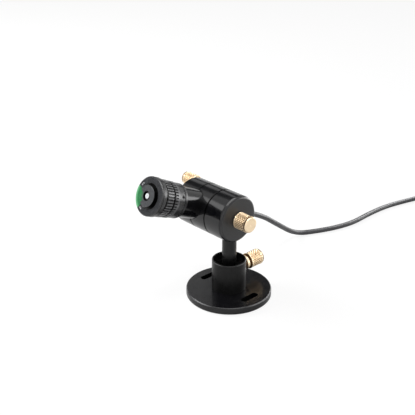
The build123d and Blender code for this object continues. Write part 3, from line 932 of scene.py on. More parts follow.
def board_finish() -> Material:
    """Makes the driver board's lacquered laminate with copper tracks under the lacquer.

    Returns:
        The material.
    """
    paint = Paint("board_laminate")
    point = paint.own_place(BEAM_PLACE)
    tracks = paint.node("ShaderNodeTexVoronoi", feature="DISTANCE_TO_EDGE")
    paint.feed(tracks, Vector=point, Scale=0.7)
    track = paint.spread(tracks.outputs["Distance"], 0.05, 0.09, 1.0, 0.0)
    cloud = paint.noise(point, 1.2, 3.0)
    lacquer = paint.mix(cloud, (0.010, 0.085, 0.030), (0.016, 0.12, 0.045))
    paint.feed(
        paint.surface,
        Base_Color=paint.mix(track, lacquer, (0.05, 0.22, 0.08)),
        Roughness=paint.spread(cloud, 0.3, 0.7, 0.25, 0.4),
    )
    paint.bump(track, 0.03)
    return paint.material


def pin_finish(step: float) -> Material:
    """Makes the plug's insert: a polymer disc with plated pins.

    Args:
        step: height in millimetres where the disc ends and the pins start.

    Returns:
        The material.
    """
    paint = Paint("plug_pins")
    point = paint.own_place(PLUG_PLACE)
    _, _, z = paint.split(point)
    pin = paint.spread(z, step + 0.02, step + 0.06)
    grain = paint.noise(point, 4.0, 2.0)
    paint.feed(
        paint.surface,
        Base_Color=paint.mix(pin, (0.015, 0.015, 0.016), paint.mix(grain, (0.70, 0.52, 0.22), (0.80, 0.62, 0.30))),
        Metallic=pin,
        Roughness=paint.spread(grain, 0.3, 0.7, 0.28, 0.42),
    )
    paint.bump(grain, 0.006)
    return paint.material


@dataclass(frozen=True)
class KnurledFinish:
    """Pale brass with painted shade: brown in the valleys of the knurl and in the groove beside it, and on a screw with
    a ringed collar also in the collar's hollows, with the ring left out.
    """

    radius: float
    depth: float
    start: float
    end: float
    # Colour of the painted shade, and a stretch of the collar that is left out of it.
    brown: Colour
    ring: Corner | None = None

    def on(self, name: str, place: Matrix) -> Material:
        """Makes the finish for one screw.

        Args:
            name: the material's name.
            place: matrix from the screw's millimetres to the frame.

        Returns:
            The material.
        """
        paint, point, colour = PALE_BRASS.start(name, place)
        x, y, z = paint.split(point)
        # Painted shade: hollows below the knurl's crests are painted brown within the band.
        shaded_hollow = paint.spread(paint.radius(x, y), self.radius - self.depth, self.radius - 0.3 * self.depth, 1.0, 0.0)
        band = paint.inside_of(z, self.start, self.end, 0.08)
        if self.ring:
            band = paint.sums("SUBTRACT", band, paint.inside_of(z, *self.ring, 0.1))
        paint.feed(paint.surface, Base_Color=paint.mix(paint.sums("MULTIPLY", shaded_hollow, band), colour, self.brown))
        return paint.material


@dataclass(frozen=True)
class EdgedFinish:
    """A black finish with a painted highlight along one turned edge, patchy, and mostly left out on one side."""

    black: TurnedFinish
    radius: float
    height: float
    width: float
    # Colour of the painted highlight along the edge.
    pale: Colour = (0.17, 0.17, 0.175)
    # Angle in degrees round the stand where the painted highlight is mostly left out, with its half width and its fade.
    kept_middle: float = -42.0
    kept_half: float = 20.0
    kept_fade: float = 16.0
    # Least roughness inside the slots, where shade is painted.
    slot_dullness: float = 0.8

    def start(self, name: str) -> tuple[Paint, Socket, Socket]:
        """Starts the finish on a piece of the stand.

        Args:
            name: the material's name.

        Returns:
            The paint, the point in the stand's millimetres and the colour.
        """
        paint, point, colour = self.black.start(name, STAND_PLACE)
        x, y, z = paint.split(point)
        # Painted highlight: the outer top edge is painted pale in patches, all round but one side.
        out = paint.spread(paint.radius(x, y), self.radius - self.width - 0.1, self.radius - self.width)
        high = paint.spread(z, self.height - self.width - 0.1, self.height - self.width)
        highlight_patch = paint.spread(paint.noise(point, 0.06, 2.0), 0.35, 0.65, 0.25, 1.0)
        off = paint.away_from(paint.sums("ARCTAN2", y, x), self.kept_middle)
        highlight_side = paint.spread(off, self.kept_half, self.kept_half + self.kept_fade, 0.06, 1.0, smoothly=True)
        painted_light = paint.sums("MULTIPLY", paint.sums("MULTIPLY", out, high), paint.sums("MULTIPLY", highlight_patch, highlight_side))
        edge_highlight = paint.mix(painted_light, colour, self.pale)
        paint.feed(paint.surface, Base_Color=edge_highlight)
        return paint, point, edge_highlight

    def build(self, name: str) -> Material:
        """Makes the material."""
        return self.start(name)[0].material

    def with_slots(self, name: str, offset: float, half: float, reach: float) -> Material:
        """Makes the material with painted shade in its two slots: dull and almost black inside.

        Args:
            name: the material's name.
            offset: distance of a slot from the middle.
            half: half of the straight part of a slot.
            reach: radius of a slot's ends with its bevel.

        Returns:
            The material.
        """
        paint, point, edge_highlight = self.start(name)
        x, y, _ = paint.split(point)
        across = paint.sums("SUBTRACT", paint.sums("ABSOLUTE", x), offset)
        along = paint.sums("MAXIMUM", paint.sums("SUBTRACT", paint.sums("ABSOLUTE", y), half), 0.0)
        inside = paint.spread(paint.radius(across, along), reach, reach + 0.02, 1.0, 0.0)
        # Painted shade: the slots' insides are painted almost black and dull.
        paint.blacken(inside, edge_highlight)
        paint.dull(paint.sums("MULTIPLY", inside, self.slot_dullness))
        return paint.material


@dataclass(frozen=True)
class SeamFinish:
    """The jaws' glossy black, with painted shade in the seams between the discs: dull and almost black there."""

    seams: tuple[Corner, ...]
    soft: float = 0.05

    def start(self, name: str) -> tuple[Paint, Socket, Socket, Socket]:
        """Starts the finish.

        Args:
            name: the material's name.

        Returns:
            The paint, the point in the swivel's millimetres, the colour and the share of painted seam shade.
        """
        paint, point, colour = GLOSS_BLACK.start(name, SWIVEL_PLACE)
        _, _, z = paint.split(point)
        # Painted shade: the seams and their chamfers are painted almost black.
        dark = paint.inside_of(z, *self.seams[0], self.soft)
        for seam in self.seams[1:]:
            dark = paint.sums("MAXIMUM", dark, paint.inside_of(z, *seam, self.soft))
        paint.blacken(dark, colour)
        return paint, point, colour, dark

    def build(self, name: str) -> Material:
        """Makes the material."""
        return self.start(name)[0].material


@dataclass(frozen=True)
class BlockFinish:
    """The block's glossy black, with a patchy painted highlight on its rounded rim, brightest round one angle, painted
    shade in its seams, and duller on its faced end.
    """

    end: float
    rounding: float
    seam: SeamFinish
    end_gloss: float = 0.42
    end_colour: Colour = (0.028, 0.028, 0.029)
    # Colours of the painted highlight on the rounded rim, faint all round and bright round one angle, with that angle
    # and its half width.
    rim_colour: Colour = (0.03, 0.03, 0.031)
    bright_rim: Colour = (0.20, 0.20, 0.205)
    bright_middle: float = 22.0
    bright_half: float = 34.0
    blend: float = 0.2

    def build(self) -> Material:
        """Makes the material.

        Returns:
            The material.
        """
        paint, point, colour, dark = self.seam.start("block_black")
        x, y, z = paint.split(point)
        faced = paint.spread(z, self.end - self.blend, self.end - 0.05, smoothly=True)
        # Painted highlight: the rounded rim is painted paler in patches, brightest round one angle.
        painted_light = paint.spread(z, self.end - 0.7 * self.rounding, self.end - 0.3 * self.rounding, smoothly=True)
        highlight_patch = paint.spread(paint.noise(point, 0.12, 2.0), 0.35, 0.65, 0.5, 1.0)
        off = paint.away_from(paint.sums("ARCTAN2", y, x), self.bright_middle)
        highlight_side = paint.spread(off, 0.5 * self.bright_half, self.bright_half, 1.0, 0.0, smoothly=True)
        highlight_colour = paint.mix(highlight_side, self.rim_colour, self.bright_rim)
        rim = paint.mix(paint.sums("MULTIPLY", painted_light, highlight_patch), colour, highlight_colour)
        paint.blacken(dark, paint.mix(faced, rim, self.end_colour))
        paint.dull(paint.sums("MULTIPLY", faced, self.end_gloss))
        return paint.material


@dataclass(frozen=True)
class BezelFinish:
    """The bezel's dark finish with a printed colour arc on one side of its face and a few pale ticks, its front faces
    painted lighter grey as painted light, the boss's sloping side and the aperture painted almost black as painted
    shade, and the arc's outer edge painted brighter as a painted highlight.
    """

    arc_middle: float = 196.0
    arc_half: float = 38.5
    arc_fade: float = 5.0
    arc_inner: float = 2.6
    arc_full: float = 6.4
    # Radius where the arc's painted highlight grows.
    arc_rim: float = 11.0
    tick_places: tuple[float, ...] = (141.0, 149.0, 240.0, 246.0)
    tick_half: float = 2.4
    tick_inner: float = 9.9
    tick_outer: float = 11.0
    green_dark: Colour = (0.030, 0.19, 0.065)
    green_pale: Colour = (0.050, 0.27, 0.10)
    # Colour of the painted highlight at the arc's outer edge.
    green_rim: Colour = (0.16, 0.50, 0.24)
    tick_white: Colour = (0.62, 0.62, 0.64)
    face: float = 54.9
    boss_face: float = 56.9
    boss_radius: float = 7.05
    boss_base: float = 8.62
    hole: float = 3.2
    # Lighter greys for the front face and the boss's face: painted light.
    face_grey: Colour = (0.045, 0.046, 0.050)
    boss_grey: Colour = (0.085, 0.088, 0.093)
    edge: float = 0.1

    def build(self) -> Material:
        """Makes the material.

        Returns:
            The material.
        """
        paint, point, colour = HEAD_BLACK.start("bezel_black", BEAM_PLACE)
        x, y, z = paint.split(point)
        radius = paint.radius(x, y)
        # Painted light: the front face and the boss's face are painted lighter grey.
        colour = paint.mix(paint.spread(z, self.face, self.face + self.edge), colour, self.face_grey)
        colour = paint.mix(paint.spread(z, self.boss_face, self.boss_face + self.edge), colour, self.boss_grey)
        # Painted shade: the boss's sloping side and the aperture are painted almost black and dull.
        cone = paint.inside_of(radius, self.boss_radius + self.edge, self.boss_base, self.edge)
        cone = paint.sums("MAXIMUM", cone, paint.spread(radius, self.hole, self.hole + 0.06, 1.0, 0.0))
        angle = paint.sums("ARCTAN2", y, x)
        off = paint.away_from(angle, self.arc_middle)
        inside = paint.spread(off, self.arc_half - self.arc_fade, self.arc_half, 1.0, 0.0, smoothly=True)
        out = paint.spread(radius, self.arc_inner, self.arc_full, smoothly=True)
        speckle = paint.noise(point, 1.4, 3.0)
        # Painted highlight: the printed arc is painted brighter towards its outer edge.
        rim = paint.spread(radius, self.arc_rim - 0.5, self.arc_rim + 0.9, smoothly=True)
        green = paint.mix(rim, paint.mix(speckle, self.green_dark, self.green_pale), self.green_rim)
        printed = paint.mix(paint.sums("MULTIPLY", inside, out), colour, green)
        band = paint.inside_of(radius, self.tick_inner + self.edge, self.tick_outer - self.edge, self.edge)
        for middle in self.tick_places:
            near = paint.spread(paint.away_from(angle, middle), self.tick_half - 0.4, self.tick_half, 1.0, 0.0)
            printed = paint.mix(paint.sums("MULTIPLY", near, band), printed, self.tick_white)
        paint.blacken(cone, printed)
        return paint.material


@dataclass(frozen=True)
class LandFinish:
    """A notched ring's black, with a patchy painted highlight on its lands and painted shade in its notches."""

    outer: float
    depth: float
    # Colour of the painted highlight on the lands, then the colour and the loss of shine of the painted shade in the
    # notches.
    land: Colour = (0.125, 0.126, 0.132)
    pit: Colour = (0.003, 0.003, 0.003)
    pit_dullness: float = 0.6

    def on(self, name: str) -> Material:
        """Makes the finish for one ring on the beam's axis.

        Args:
            name: the material's name.

        Returns:
            The material.
        """
        paint, point, colour = HEAD_BLACK.start(name, BEAM_PLACE)
        x, y, _ = paint.split(point)
        radius = paint.radius(x, y)
        # Painted highlight on the lands, patchy, and painted shade in the notches, darker and with less shine.
        painted_light = paint.spread(paint.noise(point, 0.5, 2.0), 0.35, 0.65, 0.55, 1.0)
        high = paint.sums("MULTIPLY", paint.spread(radius, self.outer - 0.12, self.outer - 0.02), painted_light)
        low = paint.spread(radius, self.outer - self.depth, self.outer - 0.3 * self.depth, 1.0, 0.0)
        pale = paint.mix(high, colour, self.land)
        dull = paint.sums("MULTIPLY", low, self.pit_dullness)
        paint.feed(paint.surface, Base_Color=paint.mix(low, pale, self.pit), Metallic=dull)
        return paint.material


# Base, socket and post


@dataclass
class BaseStand:
    """Round base with its post socket, post and the screws underneath."""

    radius: float = 30.0
    thickness: float = 5.0
    chamfer: float = 0.6
    slot_offset: float = 20.5
    slot_half: float = 5.0
    slot_radius: float = 2.25
    slot_bevel: float = 0.14
    socket_radius: float = 12.0
    socket_top: float = 27.0
    rim_wall: float = 1.2
    rim_depth: float = 5.6
    rim_chamfer: float = 0.4
    bore: float = 5.05
    post_radius: float = 5.0
    post_chamfer: float = 0.5
    post_seat: float = 49.05
    spigot_radius: float = 3.0
    spigot_top: float = 54.3
    screw_circle: float = 8.5
    screw_angle: float = 30.0
    screw_count: int = 3
    screw_head: float = 2.8
    screw_radius: float = 1.5
    screw_end: float = 11.0
    hex_radius: float = 1.15
    hex_depth: float = 1.6
    seat: float = 0.03

    def screw_place(self, index: int) -> Matrix:
        """Gives the place of one screw, with its head down."""
        turn = -radians(self.screw_angle + 360.0 / self.screw_count * index)
        return Matrix.Translation((self.screw_circle * cos(turn), self.screw_circle * sin(turn), 0.0))

    def plate(self) -> Piece:
        """Turns the plate and cuts its slots and countersinks.

        Returns:
            The plate.
        """
        edge = self.chamfer
        plate = lathe(
            "base_disc",
            [
                (0.0, 0.0), (self.radius - edge, 0.0), (self.radius, edge),
                (self.radius, self.thickness - edge), (self.radius - edge, self.thickness),
                (0.0, self.thickness),
            ],
            steps=240,
        )
        ease(plate, 0.16, 3)
        for side in (-1.0, 1.0):
            cutter = bar("slot_cutter", 48, self.slot_radius, -1.0, self.thickness + 1.0)
            for half in (-1.0, 1.0):
                select_vertices(cutter, lambda place: place.y * half > 0.0 and abs(place.y) < self.slot_radius + 0.1)
                bpy.ops.transform.translate(value=(0.0, half * self.slot_half, 0.0))
                bpy.ops.object.mode_set(mode="OBJECT")
            shift(cutter, Matrix.Translation((side * self.slot_offset, 0.0, 0.0)))
            cut(plate, cutter)
        for index in range(self.screw_count):
            head = self.screw_head + self.seat
            shank = self.screw_radius + self.seat
            cutter = lathe(
                "countersink_cutter",
                [(0.0, -1.0), (head, -1.0), (head, 0.0), (shank, head - shank), (shank, self.thickness + 1.0),
                 (0.0, self.thickness + 1.0)],
                steps=48,
            )
            shift(cutter, self.screw_place(index))
            cut(plate, cutter)
        bevel_where(plate, lambda one, two: self.on_slot_rim(one) and self.on_slot_rim(two), self.slot_bevel)
        return plate

    def on_slot_rim(self, place: Vector) -> bool:
        """Says whether a point lies on a slot's edge, above or below.

        Args:
            place: the point in millimetres.

        Returns:
            True on an edge.
        """
        on_face = min(abs(place.z), abs(place.z - self.thickness)) < 0.001
        reach = max(abs(place.y) - self.slot_half, 0.0)
        return on_face and hypot(abs(place.x) - self.slot_offset, reach) < self.slot_radius + 0.02

    def socket(self) -> Piece:
        """Turns the thick tube with its thin rim and deep recess.

        Returns:
            The socket.
        """
        inner = self.socket_radius - self.rim_wall
        floor = self.socket_top - self.rim_depth
        socket = lathe(
            "socket_tube",
            [
                (self.bore, self.thickness), (self.socket_radius, self.thickness),
                (self.socket_radius, self.socket_top - self.rim_chamfer),
                (self.socket_radius - self.rim_chamfer, self.socket_top), (inner, self.socket_top),
                (inner, floor), (self.bore, floor),
            ],
        )
        ease(socket, 0.14, 3)
        return socket

    def rod(self) -> Piece:
        """Turns the post with its spigot.

        Returns:
            The post.
        """
        post = lathe(
            "post_rod",
            [
                (0.0, self.thickness), (self.post_radius - self.post_chamfer, self.thickness),
                (self.post_radius, self.thickness + self.post_chamfer),
                (self.post_radius, self.post_seat), (self.spigot_radius, self.post_seat),
                (self.spigot_radius, self.spigot_top), (0.0, self.spigot_top),
            ],
            steps=128,
        )
        ease(post, 0.12)
        return post

    def screw(self) -> Piece:
        """Turns one countersunk screw and sinks its hexagon.

        Returns:
            The screw.
        """
        screw = lathe(
            "socket_screw_1",
            [
                (0.0, 0.0), (self.screw_head, 0.0),
                (self.screw_radius, self.screw_head - self.screw_radius),
                (self.screw_radius, self.screw_end), (0.0, self.screw_end),
            ],
            steps=64,
        )
        cut(screw, bar("hexagon_cutter", 6, self.hex_radius, -1.0, self.hex_depth))
        return screw

    def build(self) -> None:
        """Makes the stand's pieces and ties them to the frame."""
        # The plate and the socket both get a painted highlight along their top edge; the plate also gets painted shade
        # in its slots.
        edge_highlight = EdgedFinish(PLATE_BLACK, self.radius, self.thickness, self.chamfer)
        gloss = edge_highlight.with_slots("base_black", self.slot_offset, self.slot_half, self.slot_radius + self.slot_bevel)
        satin = EdgedFinish(SATIN_BLACK, self.socket_radius, self.socket_top, self.rim_chamfer).build("socket_black")
        settle(self.plate(), STAND_PLACE, gloss, Body.BASE, ["base_plate"], FINE_ANGLE)
        settle(self.socket(), STAND_PLACE, satin, Body.BASE, ["post_socket"])
        settle(self.rod(), STAND_PLACE, POST_BLACK.on(STAND_PLACE), Body.POST, ["post"])
        steel = BRIGHT_STEEL.on(STAND_PLACE)
        for index, screw in enumerate(row_of(self.screw(), self.screw_count)):
            settle(screw, STAND_PLACE @ self.screw_place(index), steel, Body.BASE, ["socket_screws"])


# Swivel clamp


@dataclass
class SwivelClamp:
    """The disc over the post and the two jaws round the laser, along the swivel axis."""

    radius: float = 16.5
    end_chamfer: float = 1.0
    seam_chamfer: float = 0.25
    block: Corner = (-7.5, 8.4)
    block_rounding: float = 2.2
    rounding_steps: int = 10
    inner_jaw: Corner = (-22.35, -7.95)
    outer_jaw: Corner = (-38.85, -22.85)
    post_bore: float = 5.05
    post_seat: float = -10.4
    barrel_bore: float = 10.55
    jaw_screw_offset: float = 12.9
    jaw_screw_bore: float = 1.55
    counterbore: float = 2.78
    counterbore_depth: float = 3.0
    steps: int = 240

    def disc(self, name: str, ends: Corner, left: float, right: Profile) -> Piece:
        """Turns one disc of the clamp.

        Args:
            name: the piece's name.
            ends: its two ends along the swivel axis.
            left: chamfer at the first end.
            right: corners of the edge at the second end.

        Returns:
            The disc.
        """
        disc = lathe(
            name,
            [
                (0.0, ends[0]), (self.radius - left, ends[0]), (self.radius, ends[0] + left),
                *right, (0.0, ends[1]),
            ],
            steps=self.steps,
        )
        ease(disc, 0.12, 3)
        return disc

    def seam_edge(self, end: float) -> list[Corner]:
        """Gives the small chamfer at a seam."""
        return [(self.radius, end - self.seam_chamfer), (self.radius - self.seam_chamfer, end)]

    def round_edge(self, end: float) -> list[Corner]:
        """Works out the rounded edge of the block's free end.

        Args:
            end: height of the end.

        Returns:
            The edge's corners.
        """
        size = self.block_rounding
        turns = [index / self.rounding_steps * pi / 2 for index in range(self.rounding_steps + 1)]
        return [(self.radius - size + size * cos(turn), end - size + size * sin(turn)) for turn in turns]

    def barrel_cutter(self) -> Piece:
        """Makes the bar that bores the jaws along the beam."""
        cutter = bar("barrel_cutter", 192, self.barrel_bore, -2 * self.radius, 2 * self.radius)
        return shift(cutter, SWIVEL_PLACE.inverted() @ BEAM_PLACE)

    def screw_cutter(self, side: float, radius: float, start: float, end: float) -> Piece:
        """Makes the bar that bores a jaw for a screw.

        Args:
            side: 1 above the laser, -1 below it.
            radius: the bore's radius.
            start: its first end along the swivel axis.
            end: its second end.

        Returns:
            The cutter.
        """
        cutter = bar("jaw_screw_cutter", 48, radius, start, end)
        across = SWIVEL_PLACE.inverted().to_3x3() @ BEAM_PLACE.to_3x3() @ Vector((0.0, 1.0, 0.0))
        return shift(cutter, Matrix.Translation(across * self.jaw_screw_offset * side))

    def build(self) -> None:
        """Makes the block and the jaws and ties them to the frame."""
        edge = self.seam_chamfer
        gaps = ((self.inner_jaw[1], self.block[0]), (self.outer_jaw[1], self.inner_jaw[0]))
        seams = SeamFinish(tuple((low - edge, high + edge) for low, high in gaps))
        gloss = seams.build("jaw_black")
        block = self.disc("swivel_disc", self.block, self.seam_chamfer, self.round_edge(self.block[1]))
        bore = bar("post_cutter", 96, self.post_bore, -2 * self.radius, self.post_seat)
        shift(bore, SWIVEL_PLACE.inverted() @ STAND_PLACE @ Matrix.Translation(self.swivel_centre()))
        cut(block, bore)
        faced = BlockFinish(self.block[1], self.block_rounding, seams).build()
        settle(block, SWIVEL_PLACE, faced, Body.BRACKET, ["swivel_block"])
        inner = self.disc("inner_jaw_disc", self.inner_jaw, self.seam_chamfer, self.seam_edge(self.inner_jaw[1]))
        outer = self.disc("outer_jaw_disc", self.outer_jaw, self.end_chamfer, self.seam_edge(self.outer_jaw[1]))
        cut(inner, self.barrel_cutter())
        cut(outer, self.barrel_cutter())
        start = self.outer_jaw[0]
        for side in (-1.0, 1.0):
            cut(outer, self.screw_cutter(side, self.jaw_screw_bore, start - 1.0, self.outer_jaw[1] + 1.0))
        cut(outer, self.screw_cutter(-1.0, self.counterbore, start - 1.0, start + self.counterbore_depth))
        settle(inner, SWIVEL_PLACE, gloss, Body.CLAMP, ["inner_jaw"])
        settle(outer, SWIVEL_PLACE, gloss, Body.CLAMP, ["outer_jaw"])

    @staticmethod
    def swivel_centre() -> Vector:
        """Gives the swivel's centre in the stand's millimetres."""
        return SWIVEL_PLACE.translation / MM


# Thumb screws


@dataclass
class ThumbScrew:
    """Turned brass screw with a necked collar and a diamond-knurled head."""

    name: str
    node: str
    body: Body
    place: Matrix
    shank_radius: float
    shank_length: float
    collar_radius: float
    collar_length: float
    head_radius: float
    head_length: float
    collar_ring: Corner | None = None
    neck_depth: float = 0.0
    # Colour of the painted shade in the knurl's valleys.
    valley: Colour = (0.20, 0.11, 0.04)
    seat_gap: float = 0.0
    tip_chamfer: float = 0.5
    back_chamfer: float = 0.45
    knurl_depth: float = 0.4
    knurl_pitch: float = 1.9
    end_groove: float = 1.55
    end_steps: tuple[Corner, ...] = ((0.9, 1.45), (0.9, 0.8), (0.3, 0.6), (0.42, 0.3), (0.62, 0.1), (0.95, 0.0))
    dimple_radius: float = 0.6
    dimple_depth: float = 0.35
    neck_points: int = 12
    # Length at the end that is left out of the painted shade.
    bright_end: float = 0.65

    def collar(self) -> list[Corner]:
        """Works out the collar: a plain step, or a ring between two hollows.

        Returns:
            The collar's corners.
        """
        outer = self.collar_radius
        if not self.collar_ring:
            return [(outer, 0.0), (outer, self.collar_length)]
        low, high = self.collar_ring
        inner = outer - self.neck_depth
        corners = [(inner, 0.0), (inner, low - 0.1), (outer - 0.25, low), (outer, low + 0.25)]
        length = self.collar_length - high
        for index in range(self.neck_points + 1):
            part = index / self.neck_points
            dip = self.neck_depth * min(1.0, 1.5 * sin(pi * part))
            corners.append((outer - dip, high + length * part))
        return corners

    def end(self, head_end: float) -> list[Corner]:
        """Works out the end at a height: a fine groove, an eased edge and a small dimple."""
        corners = [(self.head_radius - inset, head_end - drop) for inset, drop in self.end_steps]
        return [*corners, (self.dimple_radius, head_end), (0.0, head_end - self.dimple_depth)]

    def build(self) -> None:
        """Makes the screw and ties it to the frame."""
        columns = 2 * round(tau * self.head_radius / self.knurl_pitch)
        head_end = self.collar_length + self.head_length
        band_start = self.collar_length + self.back_chamfer
        band_end = head_end - self.end_groove
        rows = round((band_end - band_start) / (self.knurl_pitch / 2))
        row = (band_end - band_start) / rows
        grid = [(self.head_radius, band_start + row * index) for index in range(rows + 1)]
        profile = [
            (0.0, -self.shank_length), (self.shank_radius - self.tip_chamfer, -self.shank_length),
            (self.shank_radius, self.tip_chamfer - self.shank_length), (self.shank_radius, 0.0),
            *self.collar(), (self.head_radius - self.back_chamfer, self.collar_length), *grid,
            *self.end(head_end),
        ]
        screw = lathe(self.name, profile, steps=columns)
        knurl(screw, columns, self.head_radius, self.knurl_depth, band_start, row, rows)
        shift(screw, Matrix.Translation((0.0, 0.0, self.seat_gap)))
        gap = self.seat_gap
        start = 0.0 if self.collar_ring else band_start + gap
        knurled = KnurledFinish(
            self.head_radius, self.knurl_depth, start, head_end - self.bright_end + gap, self.valley, self.collar_ring
        )
        brass = knurled.on(f"{self.name}_brass", self.place)
        settle(screw, self.place, brass, self.body, [self.node], FINE_ANGLE)


# Laser


@dataclass
class LaserBarrel:
    """The barrel, its rear cap and the gland, measured along the beam from the swivel axis."""

    radius: float = 10.5
    bore: float = 8.6
    front: float = 36.2
    back: float = -24.0
    cap_back: float = -26.5
    cap_chamfer: float = 0.8
    cap_spigot: float = 5.0
    thread: float = 3.2
    hex_radius: float = 5.0
    hex_back: float = -30.0
    boot_back: float = -37.0
    boot_root: float = 3.43
    boot_tip: float = 2.9
    boot_ribs: int = 4
    rib_depth: float = 0.28
    rib_land: float = 0.2
    cable_bore: float = 2.03
    seat: float = 0.03

    def boot(self) -> list[Corner]:
        """Works out the boot's tapering, ribbed outline from the hexagon to the tip."""
        radii = (self.boot_root, self.boot_tip)
        return ribbed(radii, (self.hex_back, self.boot_back), self.boot_ribs, self.rib_depth, self.rib_land)

    def gland(self) -> Piece:
        """Makes the gland: a chamfered hexagon with a ribbed boot behind it.

        Returns:
            The gland.
        """
        gland = lathe(
            "gland_boot",
            [
                (self.cable_bore, self.back + self.cap_spigot),
                (self.thread, self.back + self.cap_spigot), (self.thread, self.hex_back + 0.5),
                *self.boot(), (self.cable_bore, self.boot_back),
            ],
            steps=96,
        )
        hexagon = bar("gland_hexagon", 6, self.hex_radius, self.hex_back, self.cap_back - 0.02)
        ease(hexagon, 0.25, 3)
        cut(hexagon, bar("gland_bore", 64, self.thread - 0.2, self.hex_back - 1.0, self.cap_back + 1.0))
        combine(gland, hexagon, "UNION")
        return gland

    def build(self) -> None:
        """Makes the pieces and ties them to the frame."""
        satin = SATIN_BLACK.on(BEAM_PLACE)
        tube = lathe(
            "barrel_tube",
            [(self.bore, self.back), (self.radius, self.back), (self.radius, self.front), (self.bore, self.front)],
            steps=192,
        )
        ease(tube, 0.15)
        settle(tube, BEAM_PLACE, GLOSS_BLACK.on(BEAM_PLACE), Body.LASER, ["barrel"])
        spigot = self.bore - self.seat
        inner = self.thread + self.seat
        cap = lathe(
            "end_cap",
            [
                (inner, self.cap_back), (self.radius - self.cap_chamfer, self.cap_back),
                (self.radius, self.cap_back + self.cap_chamfer), (self.radius, self.back),
                (spigot, self.back), (spigot, self.back + self.cap_spigot),
                (inner, self.back + self.cap_spigot),
            ],
            steps=192,
        )
        ease(cap, 0.15, 3)
        settle(cap, BEAM_PLACE, satin, Body.LASER, ["rear_cap"])
        settle(self.gland(), BEAM_PLACE, DARK_POLYMER.on(BEAM_PLACE), Body.LASER, ["cable_gland"])


